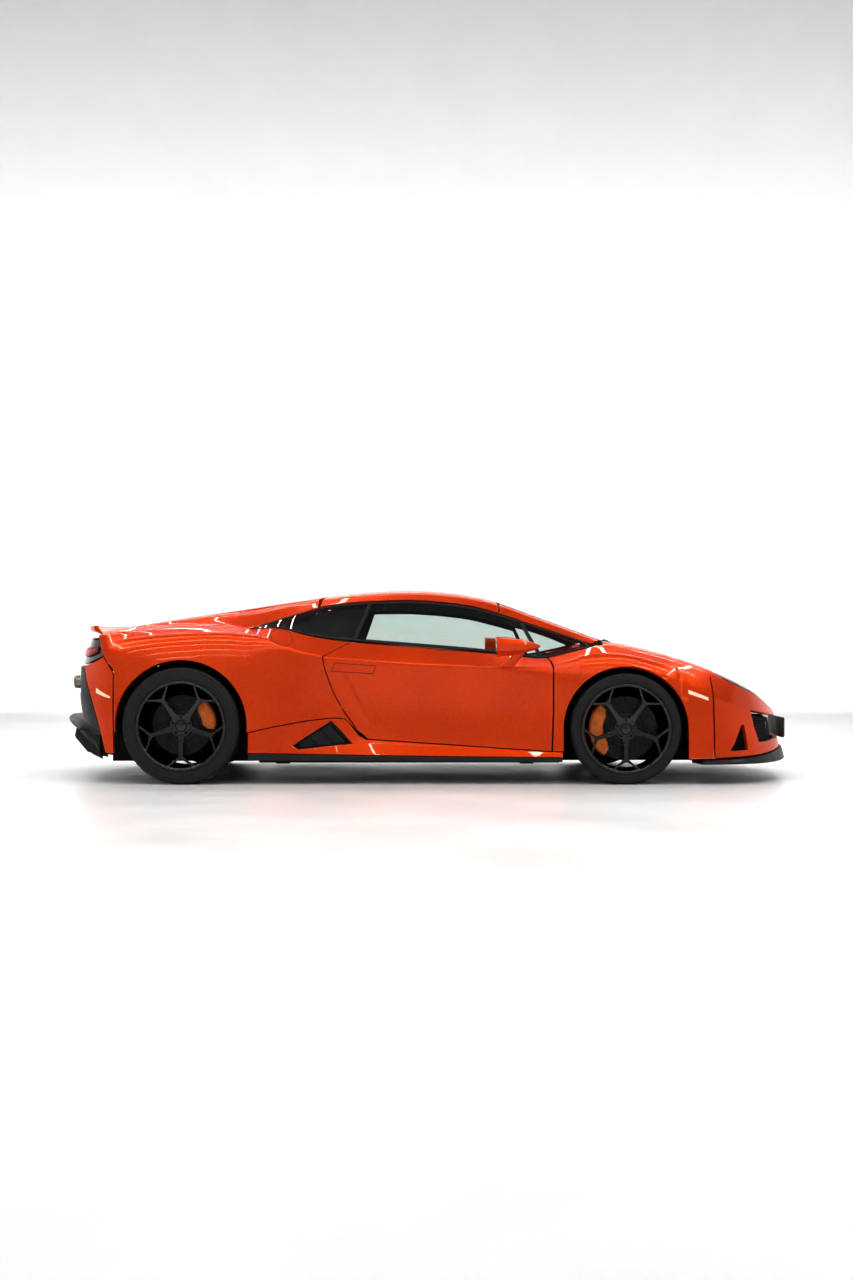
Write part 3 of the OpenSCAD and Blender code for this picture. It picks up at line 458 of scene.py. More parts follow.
def together(*parts):
    """Several sets of points and faces as one."""
    points, faces, n = [], [], 0
    for part_points, part_faces in parts:
        points.append(np.asarray(part_points, float))
        faces += [[int(i) + n for i in face] for face in part_faces]
        n += len(part_points)
    return np.concatenate(points), faces


def flipped(part):
    """Points and faces mirrored to the other side of the car."""
    points, faces = part
    return np.asarray(points) * MIRROR, [list(face)[::-1] for face in faces]


def sided(part, sign):
    """The part as it is for the left side, and its mirror image for the right."""
    return part if sign > 0 else flipped(part)


def paired(part):
    """Points and faces with their mirror image."""
    return together(part, flipped(part))


def moved(part, by, turn=None):
    """Points and faces turned by a matrix, then moved."""
    points, faces = part
    points = np.asarray(points, float)
    if turn is not None:
        points = points @ np.array(turn.to_3x3()).T
    return points + np.array(by, float), faces


def soften(piece, radius, segments=2, angle=30):
    """Rounds every edge of a piece that is sharper than the angle."""
    bevel = piece.modifiers.new("softened_edges", "BEVEL")
    bevel.limit_method = "ANGLE"
    bevel.angle_limit = math.radians(angle)
    bevel.width = radius * MM
    bevel.segments = segments
    bevel.harden_normals = True
    return piece


def crisp(piece, angle=35):
    """Smooth shading with sharp edges over the angle."""
    made = bmesh.new()
    made.from_mesh(piece.data)
    for edge in made.edges:
        if len(edge.link_faces) == 2 and edge.calc_face_angle(0) > math.radians(angle):
            edge.smooth = False
    made.to_mesh(piece.data)
    made.free()
    return piece


def fit(piece, look, *nodes, body="car_body", slot=None):
    """Dresses a piece in a finish, lets it ride on a body, and hides the nodes it stands for.
    The slot argument is not used."""
    piece.data.materials.clear()
    piece.data.materials.append(finish(look))
    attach(piece, body)
    if nodes:
        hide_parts(*nodes)
    return piece


# ---------------------------------------------------------------- finishes
def linear(code):
    """An sRGB hex colour as the linear RGBA that sockets take."""
    values = [int(code[i:i + 2], 16) / 255 for i in (1, 3, 5)]
    return tuple(v / 12.92 if v <= 0.04045 else ((v + 0.055) / 1.055)**2.4 for v in values) + (1.0,)


def add(near, kind, links=None, **settings):
    """Adds a shader node to the tree that near belongs to, sets its properties, and fills its
    sockets with values or links."""
    tree = near.id_data
    made = tree.nodes.new(kind)
    for key, value in settings.items():
        setattr(made, key, value)
    for socket, value in (links or {}).items():
        if isinstance(value, bpy.types.NodeSocket):
            tree.links.new(value, made.inputs[socket])
        else:
            made.inputs[socket].default_value = value
    return made


# Sockets of a colour Mix node, which share their names with its other modes.
MIX_SHARE, MIX_A, MIX_B, MIX_COLOUR = 0, 6, 7, 2


def finish_of(name, **sockets):
    """A new material with one Principled shader. Gives the shader, the object's own space for
    patterns to lie in, and the material."""
    made = bpy.data.materials.new(name)
    made.use_nodes = True
    tree = made.node_tree
    tree.nodes.clear()
    shader = add(tree, "ShaderNodeBsdfPrincipled", {key.replace("_", " ").title().replace("Ior", "IOR"):
        value for key, value in sockets.items()})
    add(tree, "ShaderNodeOutputMaterial", {"Surface": shader.outputs[0]})
    made.diffuse_color = tuple(sockets.get("base_color", (0.5, 0.5, 0.5, 1.0)))
    return shader, add(tree, "ShaderNodeTexCoord").outputs["Object"], made


def per_metre(millimetres):
    """Scale of a pattern whose grain is this wide."""
    return 1.0 / (millimetres * MM)


def grain(where, millimetres, detail=2.0, roughness=0.5):
    """Noise with grains of a real size, in the space given."""
    return add(where, "ShaderNodeTexNoise", {"Vector": where, "Scale": per_metre(millimetres), "Detail":
        detail, "Roughness": roughness})


def spread(value, low, high, start=0.3, end=0.7):
    """A value from a pattern, spread from low to high."""
    return add(value, "ShaderNodeMapRange", {"Value": value, "From Min": start, "From Max": end, "To Min":
        low, "To Max": high}).outputs[0]


def blended(share, first, second):
    """A colour between two, by the value of a pattern."""
    return add(share, "ShaderNodeMix", {MIX_SHARE: share, MIX_A: first, MIX_B: second},
        data_type="RGBA").outputs[MIX_COLOUR]


def relief(height, depth, strength=1.0, under=None):
    """A normal raised by a pattern, depth in millimetres."""
    links = {"Height": height, "Distance": depth * MM, "Strength": strength}
    if under is not None:
        links["Normal"] = under
    return add(height, "ShaderNodeBump", links).outputs[0]


def join(value, shader, socket):
    """Links a value to a socket of the shader."""
    value.id_data.links.new(value, shader.inputs[socket])


def lacquered_metallic(name, base, deep, flake):
    """Sprayed metallic basecoat under clear lacquer: a deep even colour that glitters close to,
    with a hard, wet-looking gloss and the faint ripple that sprayed lacquer dries to."""
    shader, where, made = finish_of(name, base_color=base, metallic=0.5, roughness=0.3,
        specular_tint=linear("#ff9658"), coat_weight=0.55, coat_roughness=0.02, coat_ior=1.52)
    # Real flakes are about 0.2 mm across. Drawn at 1.6 mm, the finest that shows.
    flakes = add(where, "ShaderNodeTexVoronoi", {"Vector": where, "Scale": per_metre(1.6)})
    cloud = grain(where, 260, 2.0)
    colour = blended(spread(cloud.outputs[0], 0.0, 0.35), base, deep)
    glint = spread(flakes.outputs["Color"], 0.0, 0.22, 0.55, 1.0)
    join(blended(glint, colour, flake), shader, "Base Color")
    join(spread(flakes.outputs["Color"], 0.24, 0.4, 0.0, 1.0), shader, "Roughness")
    join(relief(flakes.outputs["Distance"], 0.06, 0.25), shader, "Normal")
    ripple = grain(where, 9, 1.0)
    join(relief(ripple.outputs[0], 0.02, 0.12), shader, "Coat Normal")
    return made


def lacquered_black(name, base, wear):
    """Gloss black lacquer over cast alloy: mirror-black, with very fine polishing haze."""
    shader, where, made = finish_of(name, base_color=base, roughness=0.2, ior=1.5, coat_weight=0.8,
        coat_roughness=0.05)
    haze = grain(where, 38, 4.0)
    join(spread(haze.outputs[0], 0.16, 0.3), shader, "Roughness")
    join(blended(spread(haze.outputs[0], 0.0, 0.6), base, wear), shader, "Base Color")
    ripple = grain(where, 5, 1.0)
    join(relief(ripple.outputs[0], 0.02, 0.1), shader, "Normal")
    return made


def moulded_abs(name, base, worn, roughness, grain_size=1.2, depth=0.12):
    """Injection-moulded ABS with an etched tool grain: soft black with a fine leathery pebble that
    breaks up the highlight."""
    shader, where, made = finish_of(name, base_color=base, roughness=roughness, ior=1.53)
    pebble = add(where, "ShaderNodeTexVoronoi", {"Vector": where, "Scale": per_metre(grain_size)},
        feature="SMOOTH_F1")
    cloud = grain(where, 120, 3.0)
    join(blended(spread(cloud.outputs[0], 0.0, 1.0), base, worn), shader, "Base Color")
    join(spread(cloud.outputs[0], roughness - 0.07, roughness + 0.1), shader, "Roughness")
    join(relief(pebble.outputs["Distance"], depth, 0.6), shader, "Normal")
    return made


def float_glass(name, tint):
    """Float glass with a pale grey-green tint: clear, sharp reflections, the least ripple."""
    shader, where, made = finish_of(name, base_color=tint, roughness=0.0, ior=1.52, transmission_weight=1.0)
    wave = grain(where, 420, 1.0)
    join(relief(wave.outputs[0], 0.4, 0.06), shader, "Normal")
    join(blended(spread(wave.outputs[0], 0.0, 0.3), tint, linear("#e4eeea")), shader, "Base Color")
    return made


def moulded_lens(name, tint, haze, flute_size):
    """Moulded polycarbonate lens: clear and hard-coated, with shallow optic flutes inside."""
    shader, where, made = finish_of(name, base_color=tint, roughness=0.03, ior=1.58, transmission_weight=0.92)
    flutes = add(where, "ShaderNodeTexWave", {"Vector": where, "Scale": per_metre(flute_size) / 20,
        "Distortion": 0.4})
    join(relief(flutes.outputs[0], 0.15, 0.15), shader, "Normal")
    join(blended(spread(flutes.outputs[0], 0.0, 0.25), tint, haze), shader, "Base Color")
    return made


def tyre_compound(name, base, dusty):
    """Moulded tyre rubber: dull black with a slight bloom, fine mould marks and dusty grain."""
    shader, where, made = finish_of(name, base_color=base, roughness=0.62, ior=1.52)
    bloom = grain(where, 45, 5.0, 0.65)
    pores = grain(where, 1.6, 2.0)
    join(blended(spread(bloom.outputs[0], 0.0, 0.8, 0.35, 0.75), base, dusty), shader, "Base Color")
    join(spread(bloom.outputs[0], 0.5, 0.74), shader, "Roughness")
    join(relief(pores.outputs[0], 0.12, 0.5), shader, "Normal")
    return made


def turned_iron(name, base, blued):
    """Turned cast-iron brake disc: dark metal with fine concentric tool marks, slightly blued."""
    shader, where, made = finish_of(name, base_color=base, metallic=1.0, roughness=0.38)
    # Rings about the axle: waves of the radius, spaced as a 1.5 mm pass of the pads.
    split = add(where, "ShaderNodeSeparateXYZ", {"Vector": where})
    flat = add(where, "ShaderNodeCombineXYZ", {0: split.outputs[0], 1: split.outputs[2]})
    rings = add(where, "ShaderNodeTexWave", {"Vector": flat.outputs[0], "Scale": per_metre(1.5) / 20,
        "Distortion": 0.6, "Detail": 2.0}, wave_type="RINGS", rings_direction="SPHERICAL")
    heat = grain(where, 60, 3.0)
    join(blended(spread(heat.outputs[0], 0.0, 0.7), base, blued), shader, "Base Color")
    join(spread(rings.outputs[0], 0.3, 0.5, 0.0, 1.0), shader, "Roughness")
    join(relief(rings.outputs[0], 0.05, 0.4), shader, "Normal")
    return made


def baked_enamel(name, base, deep):
    """Baked caliper enamel on cast aluminium: thick glossy colour over a softly pitted casting."""
    shader, where, made = finish_of(name, base_color=base, roughness=0.28, ior=1.5, coat_weight=0.5)
    pits = grain(where, 3.0, 3.0)
    cloud = grain(where, 30, 2.0)
    join(blended(spread(cloud.outputs[0], 0.0, 0.5), base, deep), shader, "Base Color")
    join(spread(pits.outputs[0], 0.2, 0.4), shader, "Roughness")
    join(relief(pits.outputs[0], 0.15, 0.35), shader, "Normal")
    return made


def cast_aluminium(name, base, dull):
    """Sand-cast aluminium: pale grey metal with a granular skin and darker, oilier patches."""
    shader, where, made = finish_of(name, base_color=base, metallic=1.0, roughness=0.45)
    sand = grain(where, 1.8, 4.0)
    cloud = grain(where, 70, 4.0)
    join(blended(spread(cloud.outputs[0], 0.0, 0.8), base, dull), shader, "Base Color")
    join(spread(sand.outputs[0], 0.36, 0.6), shader, "Roughness")
    join(relief(sand.outputs[0], 0.25, 0.5), shader, "Normal")
    return made


def brushed_steel(name, base, heated):
    """Brushed stainless steel: long fine scratches along the pipe, with patches of heat tint."""
    shader, where, made = finish_of(name, base_color=base, metallic=1.0, roughness=0.25)
    stretched = add(where, "ShaderNodeMapping", {"Vector": where, "Scale": (0.04, 1.0, 1.0)})
    scratch = grain(stretched.outputs[0], 0.9, 3.0)
    cloud = grain(where, 40, 2.0)
    join(blended(spread(cloud.outputs[0], 0.0, 0.7), base, heated), shader, "Base Color")
    join(spread(scratch.outputs[0], 0.18, 0.4), shader, "Roughness")
    join(relief(scratch.outputs[0], 0.04, 0.3), shader, "Normal")
    return made


def tanned_leather(name, base, painted_groove_shade, pebble_size=2.2):
    """Finished leather: a soft satin hide with rounded pebbles, finer between deeper creases,
    and painted shade darkening the grooves between the pebbles.
    """
    shader, where, made = finish_of(name, base_color=base, roughness=0.5, ior=1.45, sheen_weight=0.15)
    pebbles = add(where, "ShaderNodeTexVoronoi", {"Vector": where, "Scale": per_metre(pebble_size)},
        feature="DISTANCE_TO_EDGE")
    folds = grain(where, 14, 3.0)
    # The second colour is painted shade, darkest in the grooves between the pebbles.
    join(blended(spread(pebbles.outputs[0], 1.0, 0.0, 0.0, 0.25), base, painted_groove_shade), shader, "Base Color")
    join(spread(folds.outputs[0], 0.42, 0.6), shader, "Roughness")
    fine = relief(pebbles.outputs[0], 0.25, 0.5)
    join(relief(folds.outputs[0], 0.5, 0.3, fine), shader, "Normal")
    return made


def woven_carpet(name, base, tuft):
    """Tufted carpet: matt, with rows of loops 3 mm apart."""
    shader, where, made = finish_of(name, base_color=base, roughness=0.95, sheen_weight=0.3)
    loops = add(where, "ShaderNodeTexVoronoi", {"Vector": where, "Scale": per_metre(3.0)})
    join(blended(spread(loops.outputs[0], 0.0, 1.0, 0.0, 0.8), tuft, base), shader, "Base Color")
    join(relief(loops.outputs[0], 1.0, 0.8), shader, "Normal")
    return made


def vacuum_chrome(name, base, shade):
    """Vacuum-plated lamp reflector: bright mirror metal with faint bands from its mould."""
    shader, where, made = finish_of(name, base_color=base, metallic=1.0, roughness=0.08)
    bands = add(where, "ShaderNodeTexWave", {"Vector": where, "Scale": per_metre(6.0) / 20})
    join(blended(spread(bands.outputs[0], 0.0, 0.6, 0.0, 1.0), base, shade), shader, "Base Color")
    join(spread(bands.outputs[0], 0.05, 0.16, 0.0, 1.0), shader, "Roughness")
    return made


def lit_diffuser(name, base, tint, glow):
    """Opal polycarbonate light guide: milky, with a soft glow and a fine prismatic grain."""
    shader, where, made = finish_of(name, base_color=base, roughness=0.3, ior=1.58, emission_color=base,
        emission_strength=glow)
    prisms = grain(where, 2.5, 1.0)
    join(blended(spread(prisms.outputs[0], 0.0, 0.5), base, tint), shader, "Base Color")
    join(relief(prisms.outputs[0], 0.2, 0.3), shader, "Normal")
    return made


def extruded_rubber(name, base, worn):
    """Extruded EPDM rubber: matt black seal with a faint line grain."""
    shader, where, made = finish_of(name, base_color=base, roughness=0.7, ior=1.5)
    line = grain(where, 4.0, 4.0)
    join(blended(spread(line.outputs[0], 0.0, 0.7), base, worn), shader, "Base Color")
    join(relief(line.outputs[0], 0.1, 0.4), shader, "Normal")
    return made


def poured_resin(name, base, cloud_colour):
    """Poured resin floor: pale, satin, with slow clouds of tone."""
    shader, where, made = finish_of(name, base_color=base, roughness=0.35, ior=1.5)
    cloud = grain(where, 900, 4.0)
    join(blended(spread(cloud.outputs[0], 0.0, 0.4), base, cloud_colour), shader, "Base Color")
    join(spread(cloud.outputs[0], 0.28, 0.42), shader, "Roughness")
    return made


def finishes():
    """Every finish by name, made once from the colours in the panel."""
    c = bpy.context.scene.car_colours
    made = {"paint": lacquered_metallic("lacquered_metallic_orange", c.paint, c.paint_deep, c.paint_flake),
        "gloss_black": lacquered_black("lacquered_black_panel", c.gloss_black, linear("#101113")),
        "wheel_black": lacquered_black("lacquered_black_alloy", c.gloss_black, linear("#17181a")),
        "satin_black": moulded_abs("moulded_abs_satin_black", c.satin_black, linear("#242528"), 0.42),
        "liner_black": moulded_abs("pressed_fibre_liner_black", linear("#101011"), linear("#1b1b1c"), 0.9,
        3.0, 0.5), "cabin_black": moulded_abs("moulded_cabin_polymer_charcoal", linear("#1b1c1f"),
        linear("#26272b"), 0.55, 0.9, 0.15), "glass": float_glass("float_glass_grey_green", c.glass),
        "lens": moulded_lens("polycarbonate_lens_clear", linear("#eef3f5"), linear("#cfd8dc"), 9.0),
        "red_lens": moulded_lens("polycarbonate_lens_red", linear("#c01016"), linear("#7c060a"), 6.0),
        "amber_lens": lit_diffuser("opal_polycarbonate_marker", linear("#f6dcc6"), linear("#eabf9c"), 0.12),
        "tyre": tyre_compound("moulded_tyre_rubber", linear("#161617"), linear("#232324")), "disc":
        turned_iron("turned_cast_iron_disc", linear("#37383b"), linear("#26272b")), "caliper":
        baked_enamel("baked_enamel_orange", c.caliper, linear("#b4560a")), "alloy":
        cast_aluminium("sand_cast_aluminium", linear("#8c9094"), linear("#5c5f63")), "dark_alloy":
        cast_aluminium("sand_cast_aluminium_coated_black", linear("#2c2d30"), linear("#1c1d1f")), "steel":
        brushed_steel("brushed_stainless_steel", linear("#9a9690"), linear("#6d5f55")), "leather":
        # The second colour of each leather is painted shade for the grooves between its pebbles.
        tanned_leather("tanned_leather_black", linear("#1c1c1e"), linear("#0c0c0d")), "suede":
        tanned_leather("brushed_microfibre_charcoal", linear("#2b2c30"), linear("#1d1e21"), 0.9), "carpet":
        woven_carpet("tufted_carpet_black", linear("#141415"), linear("#232325")), "chrome":
        vacuum_chrome("vacuum_chrome_reflector", linear("#d8dadc"), linear("#8f9498")), "white_light":
        lit_diffuser("opal_light_guide_white", linear("#f4f6f8"), linear("#dfe6ec"), 0.6), "red_light":
        lit_diffuser("opal_light_guide_red", linear("#e01018"), linear("#90060c"), 0.5), "rubber":
        extruded_rubber("extruded_epdm_rubber", linear("#0e0e0f"), linear("#1a1a1b")), "plate":
        moulded_abs("pressed_plate_blank_white", linear("#d9dad6"), linear("#c9cac6"), 0.45, 2.0, 0.02),}
    return made


_made = {}


def finish(name):
    """One finish by name."""
    if not _made:
        _made.update(finishes())
    return _made[name]


# ---------------------------------------------------------------- panel edges
GAP = 6
FRONT_AXLE_X, REAR_AXLE_X = 1175, -1445
FRONT_AXLE_Z, REAR_AXLE_Z = 327, 345
FRONT_ARCH_R, REAR_ARCH_R = 368, 388
DOOR_FRONT = table([[2, 737], [3, 745], [4, 745], [4.6, 732], [5, 713]])
DOOR_REAR = table([[2, -345], [2.15, -392], [2.65, -468], [3.3, -552], [3.75, -598], [4, -610], [5, -444]])
SILL_TOP = table([[-1057, 300], [-900, 336], [-708, 370], [-561, 387], [-484, 384], [-460, 364],
    [-428, 322], [-404, 290], [-358, 262], [83, 233], [400, 211], [736, 190], [807, 188]])
QUARTER_REAR = table([[1, -1839], [3, -1839], [3.55, -1842], [4, -1925], [4.5, -1972], [5, -2020],
    [7, -1975]])
CORNER_REAR = table([[1, -1900], [2, -1940], [3, -2030], [4, -2120]])
CORNER_FRONT = table([[1, -1845], [3.5, -1848], [3.96, -1925]])
HEADLIGHT_REAR = table([[4.9, 1790], [5.3, 1705], [6, 1720], [6.9, 1790]])
HEADLIGHT_FRONT = table([[4.9, 1985], [6, 2000], [6.9, 2010]])
SCREEN_FOOT = table([[7, 1050], [7.5, 1160], [8, 1205], [8.5, 1160], [9, 1050]])
SCREEN_HEAD = table([[7, 446], [8, 431], [9, 446]])
LID_FRONT = table([[7, 2340], [7.4, 2380], [8.6, 2380], [9, 2340]])
DOOR_GLASS_REAR = table([[5, -425], [6, -330]])
DOOR_GLASS_FRONT = table([[5, 680], [6, 560]])
FRONT_QUARTER_GLASS = table([[5, 700], [6, 575]]), table([[5, 975], [6, 925]])
REAR_QUARTER_GLASS = table([[5, -1022], [6, -990]]), table([[5, -445], [6, -345]])
INTAKE_OUTLINE = [[-790, 228], [-562, 374], [-434, 240], [-752, 206]]
BUMPER_GUIDES = [table(guide) for guide in ([[1, 1699], [4.8, 1699], [4.95, 1793]], [[1, 1775], [1.5, 1790],
    [3, 1880], [3.95, 1955], [5, 1990]], [[1, 1915], [2, 1915], [3, 1900], [3.95, 1968], [5, 2000]],
    [[1, 2010], [2, 2025], [3, 1985], [3.95, 1978], [5, 2014]], [[1, 2100], [5, 2100]],
    [[1, 2200], [5, 2200]], [[1, 2350], [5, 2350]], [[1, NOSE], [5, NOSE]])]


def moved_edge(edge, by):
    """An edge shifted along the stations."""
    return lambda s: edge(s) + by


def reflected(edge, about):
    """An edge on the other side of the nose or the tail."""
    return lambda s: 2 * about - edge(s)


def ramp(x, a, b):
    """0 before a, 1 after b and straight between."""
    return np.clip((x - a) / (b - a), 0, 1)


def sideways(t, s):
    """Depth straight across the car, for doors and sills."""
    return np.ones(np.shape(t))


def above_sill(t):
    """Height of the door's bottom edge."""
    return height_at(t, SILL_TOP(t) + GAP)


def arch_height(t, axle_x, axle_z, radius):
    """Height on the flank of the wheel opening's edge."""
    t = np.clip(t, axle_x - radius, axle_x + radius)
    return height_at(t, axle_z + np.sqrt(np.maximum(0, radius**2 - (t - axle_x)**2)))


def bands(counts):
    """The stop before each row of cells."""
    return np.repeat(np.arange(len(counts)), counts)


def on_skin(t, s, lift=0.0):
    """Points on the skin along a path, and the skin's directions there."""
    normal = outward(t, s)
    return skin(t, s) + normal * lift, normal


def loop(corners, step=14):
    """A closed path of [station, height] through corners, with points about every step mm."""
    path = []
    for a, b in zip(corners, corners[1:] + corners[:1]):
        ends = skin([a[0], b[0]], [a[1], b[1]])
        n = max(2, int(np.linalg.norm(ends[1] - ends[0]) / step))
        path += [(a[0] + (b[0] - a[0]) * i / n, a[1] + (b[1] - a[1]) * i / n) for i in range(n)]
    return np.array(path).T


def window_edge(rear, front, low=5.06, high=5.94, out=0.012):
    """Corners of a side window, a little outside its glass."""
    return [(float(rear(low)) - 6, low - out), (float(front(low)) + 6, low - out), (float(front(high)) + 4,
        high + out), (float(rear(high)) - 4, high + out)]


class CAR_OT_doors(bpy.types.Operator):
    """Makes both doors: painted skin, inner card, flush handle and window seals."""
    bl_idname = "car.doors"
    bl_label = "Doors"

    def execute(self, context):
        size = context.scene.car_sizes
        for side, sign in (("left", 1), ("right", -1)):
            grid = weave(ruled([DOOR_REAR, DOOR_FRONT], [size.columns(1080)]), [above_sill, 4.96], [44])
            tuck = np.zeros(grid[0].shape + (3,))
            tuck[0, :, 0], tuck[-1, :, 0], tuck[:, 0, 2] = 12, -12, 9
            skin_piece = shell(f"door_skin_{side}", grid, 80, level=sideways, tuck=tuck, side=sign,
                radius=size.edge_mm)
            fit(skin_piece, "paint", f"door_{side}", body=f"{side}_door")
            self.handle(side, sign, size)
            self.card(side, sign)
            glass = shell(f"door_window_{side}", weave(ruled([DOOR_GLASS_REAR, DOOR_GLASS_FRONT], [60]),
                [5.06, 5.94], [18]), 5, side=sign, radius=0.8)
            fit(glass, "glass", f"door_glass_{side}", body=f"{side}_door")
            band = shell(f"door_window_band_{side}", weave(ruled([DOOR_GLASS_REAR, DOOR_GLASS_FRONT], [50]),
                [5.76, 5.93], [3]), 1, lift=-5.4, side=sign, radius=0.2)
            fit(band, "gloss_black", body=f"{side}_door")
            seal = bead(*on_skin(*loop(window_edge(DOOR_GLASS_REAR, DOOR_GLASS_FRONT))), 15, 1.6,
                closed=True, sink=7)
            fit(crisp(mesh_object(f"door_window_seal_{side}", *sided(seal, sign))), "rubber",
                body=f"{side}_door")
        return {"FINISHED"}

    def handle(self, side, sign, size):
        """A flush blade handle with its finger recess at the back edge of the door."""
        blade = shell(f"door_handle_{side}", weave(ruled([table([[3, -560], [4, -536]]),
            table([[3, -318], [4, -306]])], [26]), [3.74, 3.87], [5]), 6, lift=2.2, side=sign, radius=1.6)
        fit(blade, "paint", body=f"{side}_door")
        outline = bead(*on_skin(*loop([(-566, 3.715), (-312, 3.715), (-300, 3.895), (-540, 3.895)], 8)),
            3.2, 0.5, closed=True, sink=1.0)
        fit(mesh_object(f"door_handle_recess_{side}", *sided(outline, sign)), "rubber", body=f"{side}_door")

    def card(self, side, sign):
        """Inner door card: leather panel and armrest."""
        grid = weave(ruled([lambda s: DOOR_REAR(s) + 40, lambda s: DOOR_FRONT(s) - 40], [40]),
            [lambda t: above_sill(t) + 0.12, 4.86], [16])
        t, s = grid
        swell = 10 * np.exp(-((t - 80) / 330)**2 - ((s - 3.7) / 0.35)**2)
        outer = skin(t, s) - np.array([0, 1, 0]) * (82 + swell)[..., None]
        inner = outer - np.array([0, 1, 0]) * 6
        made = thicken(outer.reshape(-1, 3), inner.reshape(-1, 3), grid_quads(t.shape))
        points, faces = made[0], made[1]
        if sign < 0:
            points, faces = points * MIRROR, faces[:, ::-1]
        card = mesh_object(f"door_card_{side}", points, faces)
        fit(soften(card, 2), "leather", body=f"{side}_door")
        arm = [(x, 812 + 12 * math.sin((x + 300) / 160), 520 + 0.06 * (x + 300)) for x in range(-300, 301,
            30)]
        part = tube(arm, [12 + 10 * math.sin(math.pi * (i + 0.5) / len(arm)) for i in range(len(arm))], 12)
        fit(mesh_object(f"door_armrest_{side}", *sided(part, sign)), "suede", body=f"{side}_door",
            slot="seat_leather")


class CAR_OT_flanks(bpy.types.Operator):
    """Makes the front fenders and rear quarters, with their wheel openings."""
    bl_idname = "car.flanks"
    bl_label = "Fenders and quarters"

    def execute(self, context):
        size = context.scene.car_sizes
        self.fenders(size)
        self.quarters(size)
        return {"FINISHED"}

    def fenders(self, size):
        x, r = FRONT_AXLE_X, FRONT_ARCH_R
        arc = [x + r * math.cos(math.radians(a)) for a in range(176, 2, -4)]
        front = table([[1, 1690], [4.8, 1690], [4.94, 1784], [5.3, 1699], [6, 1714], [6.9, 1784]])
        columns = ruled([moved_edge(DOOR_FRONT, GAP + 2), x - r] + arc + [x + r, 1620, front], [5] + [1] *
            (len(arc) + 1) + [6, 8])
        first_arch, last_arch = 5, 5 + len(arc) + 1
        top_from = first_arch + 1 + next(i for i, v in enumerate(arc) if v > 985)

        def low(t):
            return arch_height(t, x, FRONT_AXLE_Z, r)

        def base(t):
            inside = (t > x - r + 0.5) & (t < x + r - 0.5)
            return np.where(inside, low(t), np.where(t > x, 1.02, above_sill(np.minimum(t, 800))))

        def lean(t, s, number):
            behind = np.maximum(t, 1056 + 2 * (number - top_from))
            return np.where(t < 1140, t + (behind - t) * ramp(s, 4.94, 5.3), t)

        counts = [12, 26, 16]
        grid = weave(columns, [base, low, 4.94, 6.9], counts, lean)
        i, j = np.meshgrid(np.arange(len(columns) - 1), bands(counts), indexing="ij")
        keep = np.where(j == 0, (i < first_arch) | (i >= last_arch), np.where(j == 2, i >= top_from, True))
        piece = shell("fender_skins", grid, 26, keep, level=lambda t, s: np.where(s < 5, ramp(t, 900, 800),
            0), both=True, radius=size.edge_mm)
        fit(piece, "paint", "front_fenders")

    def quarters(self, size):
        x, r = REAR_AXLE_X, REAR_ARCH_R
        arc = [x + r * math.cos(math.radians(a)) for a in range(176, 2, -4)]

        def ahead(u):
            return lambda s: x + r + (np.where(s > 5, -660, DOOR_REAR(s) - GAP) - x - r) * u

        n_ahead = size.columns(560)
        columns = (ruled([QUARTER_REAR, x - r] + arc + [x + r], [4] + [1] * (len(arc) + 1)) +
            [ahead(i / n_ahead) for i in range(1, n_ahead + 1)])
        first_arch, last_arch = 4, 4 + len(arc) + 1

        def base(t):
            inside = (t > x - r + 0.5) & (t < x + r - 0.5)
            behind = height_at(np.clip(t, x - r, x + r), 305)
            over = arch_height(t, x, REAR_AXLE_Z, r)
            return np.where(inside, over, np.where(t > x, above_sill(t), behind))

        def low(t):
            ahead_low = above_sill(t) + (3.96 - above_sill(t)) * 0.1
            return np.where(t > x + r - 0.5, ahead_low, arch_height(t, x, REAR_AXLE_Z, r))

        counts = [10, 22, 12, 8, 10]
        grid = weave(columns, [base, low, 3.98, 4.96, 5.95, 6.94], counts)
        i, j = np.meshgrid(np.arange(len(columns) - 1), bands(counts), indexing="ij")
        keep = np.where(j == 0, (i < first_arch) | (i >= last_arch), np.where(j == 3, i < last_arch, True))
        piece = shell("quarter_skins", grid, 26, keep, level=lambda t, s: np.where(s < 5, ramp(t, -1000,
            -800), 0), both=True, radius=size.edge_mm)
        fit(piece, "paint", "rear_quarters")
        self.flap(size)

    def flap(self, size):
        """Round fuel flap on the right quarter, with its shut line."""
        turn = np.arange(72) * math.tau / 72
        t, s = -862 + 66 * np.cos(turn), 4.52 + 0.44 * np.sin(turn)
        ring = bead(*on_skin(t, s), 3.0, 0.4, closed=True, sink=1.5)
        fit(mesh_object("fuel_flap_shut_line", *flipped(ring)), "rubber")


